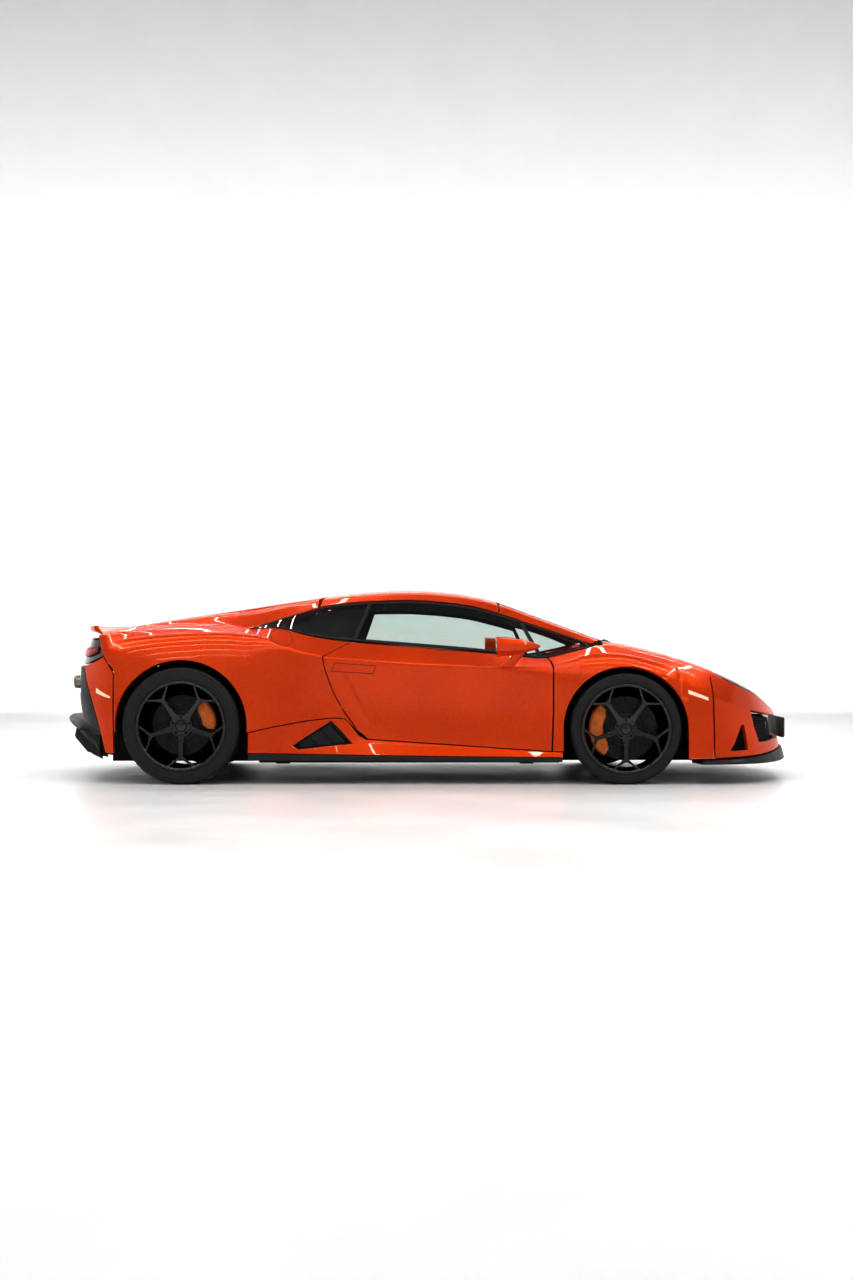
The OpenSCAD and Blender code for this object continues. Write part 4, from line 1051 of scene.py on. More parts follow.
class CAR_OT_top(bpy.types.Operator):
    """Makes the roof, screen pillars, front lid and engine cover."""
    bl_idname = "car.top"
    bl_label = "Roof and covers"

    def execute(self, context):
        size = context.scene.car_sizes
        roof = shell("roof_skin", weave(ruled([table([[6, -650], [8, -605], [10, -650]]),
            table([[6, 440], [8, 425], [10, 440]])], [size.columns(1080)]), [6.06, 9.94], [44]), 40,
            radius=size.edge_mm)
        fit(roof, "paint", "roof_panel")
        pillars = shell("screen_pillar_skins", weave(ruled([446, table([[6, 985], [7, 1040]])], [40]),
            [6.06, 6.94], [10]), 30, both=True, radius=size.edge_mm)
        fit(pillars, "paint", "windscreen_pillars")
        lid = shell("front_lid_skin", weave(ruled([moved_edge(SCREEN_FOOT, 10), LID_FRONT],
            [size.columns(1200)]), [7.05, 8.95], [36]), lambda t, s: 22 - 17 * ramp(t, 2050, 2380),
            radius=size.edge_mm)
        fit(lid, "paint", "front_lid", body="front_lid")
        self.cover(size)
        return {"FINISHED"}

    def cover(self, size):
        per_cell, per_row = 6, 5
        n_along, n_across = 12 * per_cell, 8 * per_row
        grid = weave(ruled([-1948, table([[7, -659], [8, -614], [9, -659]])], [n_along]), [7.05, 8.95],
            [n_across])
        i, j = np.meshgrid(np.arange(n_along), np.arange(n_across), indexing="ij")
        i, j = i // per_cell, j // per_row
        cover = shell("engine_cover_skin", grid, 26, (i < 4) | (i > 10) | (j < 2) | (j > 5),
            radius=size.edge_mm)
        fit(cover, "paint", "engine_cover", body="engine_cover")
        slats, slat_length, lift = [], 110, 9
        for rear in range(-1480, -819, 150):
            t, s = np.meshgrid(np.linspace(rear, rear + slat_length, 9), np.linspace(7.56, 8.44, 30),
                indexing="ij")
            rise = np.array([0, 0, 1]) * (lift * (1 - (t - rear) / slat_length))[..., None]
            outer = skin(t, s) - outward(t, s) * 12 + rise
            made = thicken(outer.reshape(-1, 3), (outer - outward(t, s) * 8).reshape(-1, 3),
                grid_quads(t.shape))
            slats.append((made[0], made[1]))
        slats = soften(mesh_object("engine_cover_slats", *together(*slats)), 2.5, 2, 50)
        fit(slats, "satin_black", "engine_cover_louvres", body="engine_cover")


class CAR_OT_glass(bpy.types.Operator):
    """Makes the windscreen, fixed quarter windows and the window behind the seats."""
    bl_idname = "car.glass"
    bl_label = "Glass"

    def execute(self, context):
        screen = shell("windscreen_glass", weave(ruled([SCREEN_HEAD, SCREEN_FOOT], [70]), [7.05, 8.95],
            [40]), 6, radius=0.8)
        fit(screen, "glass", "windshield")
        panes, seals = [], []
        for name, (rear, front) in (("front", FRONT_QUARTER_GLASS), ("rear", REAR_QUARTER_GLASS)):
            pane = shell(f"quarter_window_{name}", weave(ruled([rear, front], [30]), [5.06, 5.94], [18]), 5,
                both=True, radius=0.8)
            panes.append(fit(pane, "glass", "quarter_windows"))
            seals.append(paired(bead(*on_skin(*loop(window_edge(rear, front))), 15, 1.6, closed=True,
                sink=7)))
        fit(crisp(mesh_object("quarter_window_seals", *together(*seals))), "rubber")
        for name, rear, front in (("pillar", -640, -440), ("shoulder", -930, -636)):
            trim = shell(f"cabin_{name}_trim", weave(ruled([table([[5, rear], [6, rear + 90]]),
                table([[5, front], [6, front + 90]])], [16]), [5.0, 6.05], [16]), 12, lift=-50, both=True,
                radius=3)
            fit(trim, "suede")
        head = shell("headliner", weave(ruled([-585, lambda s: SCREEN_HEAD(s) - 20], [50]), [6.05, 9.95],
            [60]), 6, lift=-34, radius=1)
        fit(head, "suede")
        t = np.linspace(460, 1030, 40)
        edge = paired(bead(*on_skin(t, np.full(40, 7.0)), 16, 1.2, sink=8))
        across = np.linspace(7.05, 8.95, 60)
        foot = bead(*on_skin(SCREEN_FOOT(across) + 4, across), 18, 1.5, sink=8)
        head = bead(*on_skin(SCREEN_HEAD(across) - 4, across), 12, 1.0, sink=8)
        fit(crisp(mesh_object("windscreen_seal", *together(edge, foot, head))), "rubber")
        low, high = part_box("rear_window")
        y, z = np.meshgrid(np.linspace(low.y, high.y, 30) / MM, np.linspace(low.z, high.z, 10) / MM,
            indexing="ij")
        back = np.stack([np.full(y.shape, low.x / MM), y, z], axis=-1)
        made = thicken((back + [6, 0, 0]).reshape(-1, 3), back.reshape(-1, 3), grid_quads(y.shape))
        pane = round_rim(mesh_object("cabin_rear_window", made[0], made[1]), made[2], 1.5)
        fit(pane, "glass", "rear_window")
        return {"FINISHED"}


class CAR_OT_nose(bpy.types.Operator):
    """Makes the front bumper with its intakes, mesh, splitter, plate and side markers."""
    bl_idname = "car.nose"
    bl_label = "Nose"

    def execute(self, context):
        size = context.scene.car_sizes
        counts = [6, 8, 4, 6, 8, 10, 8]
        guides = BUMPER_GUIDES + [reflected(g, NOSE) for g in BUMPER_GUIDES[-2::-1]]
        columns = ruled(guides, counts + counts[::-1])
        rows = [4, 4, 8, 8, 2, 10]
        grid = weave(columns, [1.02, 1.5, 2.0, 3.0, 3.95, 4.1, 4.94], rows)
        cell = bands(counts + counts[::-1])
        last = len(guides) - 2
        i, j = np.meshgrid(cell, bands(rows), indexing="ij")
        vent = ((i == 1) | (i == last - 1)) & (j >= 1) & (j <= 2)
        mouth = (i >= 3) & (i <= last - 3) & (j >= 2) & (j <= 3)
        bumper = shell("front_bumper_skin", grid, 24, ~(vent | mouth), radius=size.edge_mm)
        fit(bumper, "paint", "front_bumper")
        strips = shell("front_bumper_top_strips", weave(ruled([moved_edge(HEADLIGHT_FRONT, GAP), 2400],
            [30]), [5.02, 6.76], [18]), 20, both=True, radius=size.edge_mm)
        fit(strips, "paint", "front_bumper")
        self.mesh()
        self.splitter()
        self.plate()
        self.markers()
        return {"FINISHED"}

    def mesh(self):
        """Honeycomb mesh over a dark radiator face."""
        backing = shell("radiator_face", weave(ruled([1800, 2 * NOSE - 1800], [120]), [1.6, 4.0], [20]), 5,
            lift=-63, radius=0)
        fit(backing, "liner_black", "front_grille")
        cell_t, cell_s, first_t, first_s = 20.0, 0.2, 1925, 1.72
        n_rows, n_columns = 11, 58
        points, faces = [], []
        for row in range(n_rows):
            for column in range(n_columns):
                t = first_t + cell_t * (column + (row % 2) / 2)
                s = first_s + cell_s * row
                ring = [(t + cell_t * 0.5 * a, s + cell_s * b / 3) for a, b in ((0, -2), (1, -1), (1, 1),
                    (0, 2), (-1, 1), (-1, -1))]
                n = len(points)
                points += ring
                faces.append(list(range(n, n + 6)))
        t, s = np.array(points).T
        lattice = mesh_object("intake_honeycomb", skin(t, s) - outward(t, s) * 44, faces)
        made = bmesh.new()
        made.from_mesh(lattice.data)
        bmesh.ops.remove_doubles(made, verts=made.verts, dist=0.5 * MM)
        made.to_mesh(lattice.data)
        made.free()
        wire = lattice.modifiers.new("struts", "WIREFRAME")
        wire.thickness = 3.2 * MM
        fit(lattice, "satin_black", "front_grille")

    def splitter(self):
        """Low splitter lip, drooping at its ends."""
        rings = []
        for t in np.concatenate([np.linspace(1620, NOSE, 60), np.linspace(NOSE, 2 * NOSE - 1620, 60)[1:]]):
            a = skin(t, 1.02)
            out = unit(np.array([a[0] - 1500, a[1], 0]))
            back = max(a[0] - 240, 1585)
            rings.append([a + [0, 0, -10], a + out * 16 + [0, 0, -14], np.array([a[0], a[1], 130]) + out *
                31, np.array([a[0], a[1], 122]) + out * 32, np.array([a[0], a[1], 118]) + out * 28,
                [back, a[1] * 0.85, 118], [back, a[1] * 0.85, 138], a - out * 30 + [0, 0, -26]])
        lip = crisp(mesh_object("splitter_lip", *rails(rings)))
        fit(soften(lip, 1.5), "satin_black", "front_splitter")

    def plate(self):
        """Blank plate with a raised rim on its black holder."""
        low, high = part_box("number_plate")
        y, z0, z1, x = high.y / MM, low.z / MM, high.z / MM, high.x / MM

        def slab(x0, x1, w, a, b, lip):
            ring = [[w, a], [w, b], [-w, b], [-w, a]]
            inner = [[w - lip, a + lip], [w - lip, b - lip], [-w + lip, b - lip], [-w + lip, a + lip]]
            rings = [[[x0, p, q] for p, q in ring], [[x1, p, q] for p, q in ring], [[x1, p, q] for p, q in
                inner], [[x1 - 1.2, p, q] for p, q in inner]]
            return rails(rings)

        holder = soften(crisp(mesh_object("plate_holder", *slab(x - 20, x - 6, y, z0, z1, 8))), 2)
        fit(holder, "satin_black", "number_plate")
        blank = soften(crisp(mesh_object("blank_plate", *slab(x - 6, x, y - 10, z0 + 6, z1 - 6, 4))), 1.2)
        fit(blank, "plate", "number_plate")

    def markers(self):
        """Pale side marker lenses ahead of the front wheel and behind the rear."""
        front = shell("front_side_markers", weave(ruled([table([[3.4, 1548], [4, 1540]]),
            table([[3.4, 1668], [4, 1660]])], [20]), [3.66, 3.79], [4]), 6, lift=1.2, both=True, radius=2)
        fit(front, "amber_lens")
        rear = shell("rear_side_markers", weave(ruled([-1985, -1862], [18]), [lambda t: 0.55 - 0.0013 * t,
            lambda t: -0.76 - 0.00203 * t], [4]), 6, lift=1.2, both=True, radius=2)
        fit(rear, "amber_lens")


class CAR_OT_headlights(bpy.types.Operator):
    """Makes both headlights: clear lens, dark bowl, projectors and light guides."""
    bl_idname = "car.headlights"
    bl_label = "Headlights"

    def execute(self, context):
        edges = ruled([HEADLIGHT_REAR, HEADLIGHT_FRONT], [30])
        lens = shell("headlight_lenses", weave(edges, [5.07, 6.92], [24]), 3, both=True, radius=1.0)
        fit(lens, "lens", "headlights")
        t, s = weave(edges, [5.09, 6.9], [24])
        depth = 5 + 46 * np.sin(np.pi * np.linspace(0, 1, t.shape[0]))[:, None]**0.6 * np.sin(np.pi *
            np.linspace(0, 1, t.shape[1]))[None]**0.6
        normal = outward(t, s)
        floor = skin(t, s) - normal * depth[..., None]
        made = thicken(floor.reshape(-1, 3), (floor - normal * 3).reshape(-1, 3), grid_quads(t.shape))
        bowl = mesh_object("headlight_bowls", *mirrored_too(made[0], made[1]))
        fit(bowl, "satin_black", "headlights")
        guides, projectors = [], []
        for low, high in (((1812, 5.3), (1985, 5.42)), ((1800, 6.62), (1990, 6.5)), ((1812, 5.3),
                (1800, 6.62))):
            path_t, path_s = np.linspace(low[0], high[0], 24), np.linspace(low[1], high[1], 24)
            guides.append(bead(*on_skin(path_t, path_s, -13), 7, 4, sink=5))
        for t0 in (1862, 1930):
            centre, normal = on_skin(np.array([t0]), np.array([5.92]), -26)
            ring = [(24, 0), (24, -12), (21, -14), (18, -12), (18, -3), (0.5, 4), (0.5, 16), (22, 16)]
            points, faces = lathe([(r, d) for r, d in ring], 40)
            aim = Vector((0, 1, 0)).rotation_difference(Vector(normal[0]).lerp(Vector((1, 0, 0)),
                0.5).normalized())
            projectors.append(moved((points, faces.tolist()), centre[0], aim.to_matrix()))
        fit(mesh_object("headlight_guides", *paired(together(*guides))), "white_light")
        fit(crisp(mesh_object("headlight_projectors", *paired(together(*projectors)))), "chrome")
        return {"FINISHED"}


class CAR_OT_sills(bpy.types.Operator):
    """Makes the sills with their intake ahead of each rear wheel, and the skirts below."""
    bl_idname = "car.sills"
    bl_label = "Sills"

    def execute(self, context):
        size = context.scene.car_sizes

        def top(t):
            return height_at(t, SILL_TOP(t))

        sill = shell("sill_skins", weave(ruled([-1050, 802], [size.columns(1852)]), [1.03, top], [22]), 36,
            level=sideways, both=True, radius=size.edge_mm)
        cutter = []
        for sign in (1, -1):
            ring = [[[x, sign * y, z] for x, z in INTAKE_OUTLINE] for y in (860, 1000)]
            cutter.append(rails(ring))
        cutter = crisp(mesh_object("sill_cutter", *together(*cutter)))
        cut = sill.modifiers.new("intake", "BOOLEAN")
        cut.object, cut.solver = cutter, "EXACT"
        sill.modifiers.move(len(sill.modifiers) - 1, 0)
        flatten(sill, "intake")
        bpy.data.objects.remove(cutter)
        fit(sill, "paint", "side_sills")
        self.intakes()
        skirt = shell("skirt_blades", weave(ruled([-1050, 800], [120]), [0.02, 0.97], [8]), 30,
            level=sideways, both=True, radius=2)
        fit(skirt, "satin_black", "side_skirts")
        return {"FINISHED"}

    def intakes(self):
        """Black duct with a raised frame and two slanted vanes."""
        outline = np.array(INTAKE_OUTLINE, float)
        centre = outline.mean(axis=0)

        def ring(scale, y):
            return [[*(centre + (p - centre) * scale), y] for p in outline]

        rings = [[[x, y, z] for x, z, y in ring(k, y)] for k, y in ((0.985, 915), (0.97, 921), (0.93, 921),
            (0.86, 897), (0.8, 886), (0.02, 884))]
        frame_part = rails([r[::-1] for r in rings], caps=False)
        vanes = []
        for k in (0.36, 0.68):
            a = outline[0] + (outline[1] - outline[0]) * k
            b = outline[3] + (outline[2] - outline[3]) * k
            a, b = a + (b - a) * 0.06, b + (a - b) * 0.08
            path = [[a[0] + (b[0] - a[0]) * i / 10, 894, a[1] + (b[1] - a[1]) * i / 10] for i in range(11)]
            vanes.append(bead(path, np.tile([0, 1.0, 0], (11, 1)), 5, 14, sink=6))
        duct = crisp(mesh_object("sill_intakes", *paired(together(frame_part, *vanes))))
        fit(duct, "satin_black", "side_intakes")


def flatten(piece, *modifiers):
    """Applies the named modifiers of a piece to its mesh."""
    for name in modifiers:
        with bpy.context.temp_override(object=piece, active_object=piece):
            bpy.ops.object.modifier_apply(modifier=name)
    return piece


class CAR_OT_tail(bpy.types.Operator):
    """Makes the rear corners, fascia, light band, lights, spoiler, diffuser and exhausts."""
    bl_idname = "car.tail"
    bl_label = "Tail"

    def execute(self, context):
        size = context.scene.car_sizes
        corner = shell("rear_corner_skins", weave(ruled([CORNER_REAR, CORNER_FRONT], [14]), [1.02, 3.95],
            [30]), 24, both=True, radius=size.edge_mm)
        fit(corner, "paint", "rear_bumper")
        edge = moved_edge(CORNER_REAR, -GAP)
        per_cell = 7
        columns = ruled([reflected(edge, TAIL), TAIL, edge], [6 * per_cell] * 2)
        rows = [10, 8, 6]
        i, j = np.meshgrid(np.arange(12 * per_cell) // per_cell, bands(rows), indexing="ij")
        fascia = shell("rear_fascia_panel", weave(columns, [2.05, 3.05, 3.7, 3.95], rows), 24, ~((j == 1) &
            (i >= 2) & (i <= 9)), radius=2)
        fit(fascia, "satin_black", "rear_fascia")
        edge = moved_edge(QUARTER_REAR, -GAP - 6)
        band = shell("tail_band", weave(ruled([reflected(edge, TAIL), TAIL, edge], [50, 50]), [4.06, 4.9],
            [14]), 14, lift=-14, radius=2)
        fit(band, "gloss_black", "tail_panel")
        self.lights()
        self.spoiler()
        self.diffuser()
        self.exhausts()
        return {"FINISHED"}

    def lights(self):
        """Red lenses with a bright three-armed guide in each."""
        lens = shell("tail_light_lenses", weave(ruled([-2260, table([[4, -1990], [5, -2020]])], [40]),
            [4.3, 4.6], [8]), 6, lift=-2, both=True, radius=1.5)
        fit(lens, "red_lens", "tail_lights")
        bars = []
        for a, b in (((-2250, 4.45), (-2180, 4.45)), ((-2180, 4.45), (-2120, 4.57)), ((-2180, 4.45),
                (-2120, 4.33)), ((-2100, 4.45), (-2030, 4.45))):
            t, s = np.linspace(a[0], b[0], 14), np.linspace(a[1], b[1], 14)
            bars.append(bead(*on_skin(t, s, -2.5), 8, 2.6, sink=2))
        fit(mesh_object("tail_light_guides", *paired(together(*bars))), "red_light")

    def spoiler(self):
        """Ducktail with a thin trailing edge that rises towards its middle."""
        half_span, tip_x, sweep = 640, -2118, 108
        rings = []
        for y in np.linspace(half_span, -half_span, 81):
            e = abs(y) / half_span
            x = tip_x + sweep * e * e
            rings.append([[-1960, y, 908 - 14 * e * e], [x + 50 - 24 * e * e, y, 926], [x + 34, y, 932],
                [x + 18, y, 936], [x, y, 938 - 3 * e], [x - 2, y, 926], [x + 3, y, 908], [x + 14, y, 900],
                [-1968, y, 894 - 8 * e * e]])
        wing = soften(crisp(mesh_object("ducktail_spoiler", *rails(rings))), 1.6)
        fit(wing, "paint", "rear_spoiler")

    def diffuser(self):
        """Diffuser ramp with a rolled lip and upright strakes."""
        half_width, lip_x, sweep, end_drop = 760, -2258, 190, 60
        rings = []
        for y in np.linspace(-730, 730, 74):
            e = abs(y) / half_width
            x, drop = lip_x + sweep * e * e, end_drop * e * e
            rings.append([[-1960, y, 150], [x + 100, y, 235], [x + 30, y, 356 - drop], [x + 4, y, 366 -
                drop], [x, y, 372 - drop], [x + 6, y, 380 - drop], [x + 60, y, 368 - drop], [-2010, y, 290],
                [-1960, y, 280]])
        ramp_part = crisp(mesh_object("diffuser_ramp", *rails(rings)))
        fit(ramp_part, "satin_black", "diffuser")
        strakes = []
        for y in (-600, -420, -240, 240, 420, 600):
            e = abs(y) / half_width
            x = lip_x + sweep * e * e
            side = [[-1965, 152], [x + 108, 222], [x + 48, 318 - end_drop * e * e], [x + 34, 250],
                [x + 110, 160], [-1965, 128]]
            strakes.append(rails([[[a, y + w, b] for a, b in side] for w in (-3.5, 3.5)]))
        blades = soften(crisp(mesh_object("diffuser_strakes", *together(*strakes))), 1.2)
        fit(blades, "satin_black", "diffuser")

    def exhausts(self):
        """Four round tips with rolled rims, dark inside."""
        tips = []
        profile = [(40, 0), (40, 96), (39.4, 105), (37.6, 109), (36.4, 107), (35.6, 100), (35.4, 20),
            (6, 18), (6, 0)]
        for y in (150, 262):
            points, faces = lathe(profile, 64)
            turn = Matrix.Rotation(math.radians(-90), 3, "Z")
            tips.append(moved((points, faces.tolist()), (-2090, y, 590), turn))
        made = crisp(mesh_object("exhaust_pipes", *paired(together(*tips))), 40)
        fit(made, "steel", "exhaust_tips")


# ---------------------------------------------------------------- wheels and brakes
# Name, side, then mm: axle x, tyre's outer face y, axle z, tyre width, disc radius; then the caliper's
# angle in degrees, its body and its CAD node.
FRONT_WHEEL = (FRONT_AXLE_X, 956.5, FRONT_AXLE_Z, 245, 190, 180)
REAR_WHEEL = (REAR_AXLE_X, 962.5, REAR_AXLE_Z, 305, 178, 20, "car_body", "rear_knuckles")
WHEELS = (
    ("front_left", 1, *FRONT_WHEEL, "front_left_knuckle", "front_knuckle_left"),
    ("front_right", -1, *FRONT_WHEEL, "front_right_knuckle", "front_knuckle_right"),
    ("rear_left", 1, *REAR_WHEEL),
    ("rear_right", -1, *REAR_WHEEL))
BEAD_R = 254
SPOKES = 5


def at_hub(name, part, sign, place):
    """A piece made about an axle, its own origin on the wheel's outer face."""
    points, faces = part
    points = np.asarray(points) * (1, sign, 1)
    piece = mesh_object(name, points, faces)
    piece.location = Vector((place[0], sign * place[1], place[2])) * MM
    return piece


def knob(radius, height, sides, at, depth, chamfer=1.5):
    """A bolt head or boss on an axle's face: at is (across, up) and depth is inboard."""
    turn = np.arange(sides) * math.tau / sides
    rings = [[[at[0] + r * math.cos(a), -d, at[1] + r * math.sin(a)] for a in turn] for r, d in
        ((radius, depth), (radius, depth - height + chamfer), (radius - chamfer, depth - height))]
    return rails(rings)


class CAR_OT_wheels(bpy.types.Operator):
    """Makes the four tyres, forked-spoke rims and drilled brake discs, each riding on its wheel."""
    bl_idname = "car.wheels"
    bl_label = "Wheels"

    def execute(self, context):
        blocks = context.scene.car_sizes.tread_blocks
        for name, sign, x, y, z, width, disc_r, _, _, _ in WHEELS:
            place, body = (x, y, z), f"{name}_wheel"
            tyre = at_hub(f"tyre_rubber_{name}", self.tyre(z, width, blocks), sign, place)
            fit(crisp(tyre, 50), "tyre", f"tyre_{name}", body=body)
            rim = at_hub(f"forked_rim_{name}", self.barrel(width), sign, place)
            fit(crisp(rim, 45), "wheel_black", f"rim_{name}", body=body)
            spokes = at_hub(f"forked_spokes_{name}", self.spokes(), sign, place)
            fit(soften(crisp(spokes), 2.6, 3), "wheel_black", f"rim_{name}", body=body)
            hub = at_hub(f"hub_bolts_{name}", self.bolts(), sign, place)
            fit(crisp(hub), "dark_alloy", f"rim_{name}", body=body, slot="wheel_black")
            disc = at_hub(f"brake_disc_{name}", self.disc(disc_r), sign, place)
            fit(crisp(disc), "disc", f"disc_{name}", body=body)
        return {"FINISHED"}

    def tyre(self, r, w, blocks):
        h = r - BEAD_R
        side = [(BEAD_R + 1, 14), (BEAD_R + 12, 12), (BEAD_R + 14, 6), (BEAD_R + 17, 4.5), (BEAD_R + 19,
            5.5), (BEAD_R + 0.36 * h, 1.6), (BEAD_R + 0.42 * h, 0.8), (BEAD_R + 0.44 * h, 1.6),
            (BEAD_R + 0.58 * h, 0.9), (BEAD_R + 0.6 * h, 0.3), (BEAD_R + 0.63 * h, 1.2), (r - 17, 5),
            (r - 15, 4.6), (r - 13, 7.5), (r - 6, 13.5), (r - 1.6, 20)]
        tread = [(r - 0.4, 25)]
        for k in (0.24, 0.41, 0.59, 0.76):
            g = w * k
            tread += [(r, g - 12), (r, g - 5.2), (r - 0.8, g - 4.4), (r - 7, g - 3.6), (r - 7, g + 3.6),
                (r - 0.8, g + 4.4), (r, g + 5.2)]
        profile = side + tread + [(r - 0.4, w - 25)] + [(a, w - b) for a, b in side[::-1]]
        per_block = 7

        def sipe(angle, radius, depth):
            column = np.rint(angle / math.tau * blocks * per_block)
            shift = np.floor(depth / w * 10)
            cut = ((column + shift) % per_block == 0) & (radius > r - 3) & (depth > 15) & (depth < w - 15)
            return np.where(cut, -4.0, 0.0)

        return lathe(profile, blocks * per_block, wobble=sipe)

    def barrel(self, w):
        profile = [(266, 7), (265, 3), (261, 1.2), (256, 1), (250, 3), (246.5, 9), (244, 26), (241, 60),
            (239, w - 42), (241, w - 16), (249, w - 6), (256, w - 4), (258, w - 8), (253.5, w - 12),
            (253.5, w - 22), (247, w - 32), (247.5, 36), (253.8, 26), (253.8, 13), (263, 11)]
        return lathe(profile, 160)

    def spokes(self):
        """Five forked spokes and the hub they grow from."""
        half = [(56, 21), (90, 15), (140, 12.2), (178, 12.8)]
        start, end = np.array([187.0, 6.4]), np.array([240.5, 79.0])
        way = unit(end - start)
        across = np.array([way[1], -way[0]]) * 6.6
        stations = [0.3, 0.62, 1.0]
        outer = [(178, 12.8)] + [tuple(start + (end - start) * k - across) for k in stations]
        inner = [(197, 0)] + [tuple(start + (end - start) * k + across) for k in stations]
        plan = [(a, -b) for a, b in half] + half + [(197, 0)] + outer[1:] + inner[1:]
        plan += [(a, -b) for a, b in outer[1:] + inner[1:]]
        quads = [[i, i + 1, i + 5, i + 4] for i in range(3)] + [[3, 8, 7, 7]]
        for base, root in ((9, 7), (15, 3)):
            chain = [(root, 8)] + [(base + i, base + 3 + i) for i in range(3)]
            quads += [[a[0], b[0], b[1], a[1]] for a, b in zip(chain, chain[1:])]
        plan = np.array(plan, float)
        r = np.linalg.norm(plan, axis=1)
        face = np.interp(r, [56, 90, 140, 178, 197, 225, 252], [31, 26, 20, 15, 13.5, 11, 7.5])
        back = face + np.interp(r, [56, 140, 197, 252], [30, 25, 22, 26])
        parts = []
        for i in range(SPOKES):
            turn = math.radians(270 + i * 360 / SPOKES)
            x = plan[:, 0] * math.cos(turn) - plan[:, 1] * math.sin(turn)
            z = plan[:, 0] * math.sin(turn) + plan[:, 1] * math.cos(turn)
            made = thicken(np.stack([x, -face, z], 1), np.stack([x, -back, z], 1), quads)
            parts.append((made[0], made[1].tolist()))
        hub = lathe([(0.5, 24), (29, 24), (33, 25.5), (34, 30), (37, 33.5), (44, 34), (61, 31), (66, 33),
            (69, 40), (70, 84), (31, 84), (31, 46), (0.5, 46)], 96)
        return together((hub[0], hub[1].tolist()), *parts)

    def bolts(self):
        """Wheel bolts in a ring, and the blank centre cap's rim."""
        parts = []
        for i in range(SPOKES):
            a = math.radians(306 + i * 360 / SPOKES)
            parts.append(knob(7.5, 11, 6, (52 * math.cos(a), 52 * math.sin(a)), 36))
        ring = lathe([(30, 24.5), (31.5, 22.4), (33.5, 22.2), (35, 25), (35, 30), (30, 30)], 80)
        return together((ring[0], ring[1].tolist()), *parts)

    def disc(self, r):
        """Vented rotor: two drilled plates, vanes between them, and a bolted hat."""
        parts = []
        turns, rings = 264, 15
        a = np.arange(turns + 1) * math.tau / turns
        radius = np.linspace(r - 74, r, rings)
        column, row = np.meshgrid(np.arange(turns), np.arange(rings - 1), indexing="ij")
        drilled = ((column + 4 * (row // 2)) % 11 == 0) & (row % 3 == 1)
        at = np.arange(turns * rings).reshape(turns, rings)
        at = np.concatenate([at, at[:1]])
        quads = np.stack([at[:-1, :-1], at[:-1, 1:], at[1:, 1:], at[1:, :-1]], axis=-1)[~drilled]
        flat = np.stack([radius[None] * np.cos(a[:-1, None]), np.zeros((turns, rings)), radius[None] *
            np.sin(a[:-1, None])], axis=-1).reshape(-1, 3)
        for front, back in ((96, 106), (118, 128)):
            made = thicken(flat - [0, front, 0], flat - [0, back, 0], quads)
            parts.append((made[0], made[1].tolist()))
        for i in range(48):
            b = i * math.tau / 48
            c, s = math.cos(b), math.sin(b)
            side = [[p, -d, q] for d in (105, 119) for p, q in [(k * c - w * s, k * s + w * c) for k, w in
                ((r - 70, -2), (r - 3, -2), (r - 3, 2), (r - 70, 2))]]
            parts.append(rails([side[:4], side[4:]]))
        hat = lathe([(46, 85), (88, 85), (93, 88), (95, 95), (104, 97), (112, 97), (117, 100), (117, 108),
            (90, 108), (88, 94), (46, 94)], 96)
        parts.append((hat[0], hat[1].tolist()))
        for i in range(10):
            b = math.radians(18 + 36 * i)
            parts.append(knob(5.5, 5, 6, (104 * math.cos(b), 104 * math.sin(b)), 97.5, 1))
        return together(*parts)


class CAR_OT_brakes(bpy.types.Operator):
    """Makes the uprights and enamelled calipers."""
    bl_idname = "car.brakes"
    bl_label = "Uprights and calipers"

    def execute(self, context):
        for name, sign, x, y, z, _, disc_r, angle, body, node in WHEELS:
            caliper = at_hub(f"caliper_{name}", self.caliper(disc_r, angle), sign, (x, y, z))
            fit(soften(crisp(caliper, 40), 2.2, 2, 40), "caliper", node, body=body)
            upright = at_hub(f"upright_{name}", self.upright(), sign, (x, y, z))
            fit(soften(crisp(upright, 40), 2), "alloy", node, body=body)
        return {"FINISHED"}

    def caliper(self, r, angle):
        section = [(r - 60, 86), (r - 52, 80), (r + 4, 78), (r + 16, 81), (r + 24, 90), (r + 25, 146),
            (r + 18, 155), (r - 50, 156), (r - 60, 150), (r - 60, 134), (r + 7, 134), (r + 7, 90),
            (r - 60, 90)]
        low, high, pots = (-44, 52, 4) if angle == 180 else (-27, 29, 3)
        rings = []
        for a in np.linspace(low, high, 41):
            e = abs(2 * (a - low) / (high - low) - 1)
            pull = 0.42 * max(0, (e - 0.62) / 0.38)**2
            turn = math.radians(angle + a)
            ring = [(p + (r + 4 - p) * pull if d < 133 or p > r else p + (r + 4 - p) * pull, d) for p, d in
                section]
            rings.append([[p * math.cos(turn), -d, p * math.sin(turn)] for p, d in ring])
        parts = [rails(rings)]
        for a in np.linspace(low + 11, high - 11, pots):
            turn = math.radians(angle + a)
            at = ((r - 26) * math.cos(turn), (r - 26) * math.sin(turn))
            parts.append(knob(17, 7, 28, at, 82, 3))
            parts.append(knob(8, 4, 24, at, 76, 2))
        for a in (low + 4, high - 4):
            turn = math.radians(angle + a)
            parts.append(knob(7, 9, 6, ((r - 8) * math.cos(turn), (r - 8) * math.sin(turn)), 80))
        return together(*parts)

    def upright(self):
        points, faces = lathe([(0.5, 52), (29.6, 52), (29.6, 138), (50, 141), (62, 144), (64, 150),
            (64, 186), (58, 189), (0.5, 189)], 64)
        parts = [(points, faces.tolist())]
        for up in (1, -1):
            ring = [(-22, 40), (22, 40), (16, 166), (8, 170), (-8, 170), (-16, 166)]
            parts.append(rails([[[p, -d, q * up] for p, q in ring] for d in (151, 183)]))
        return together(*parts)


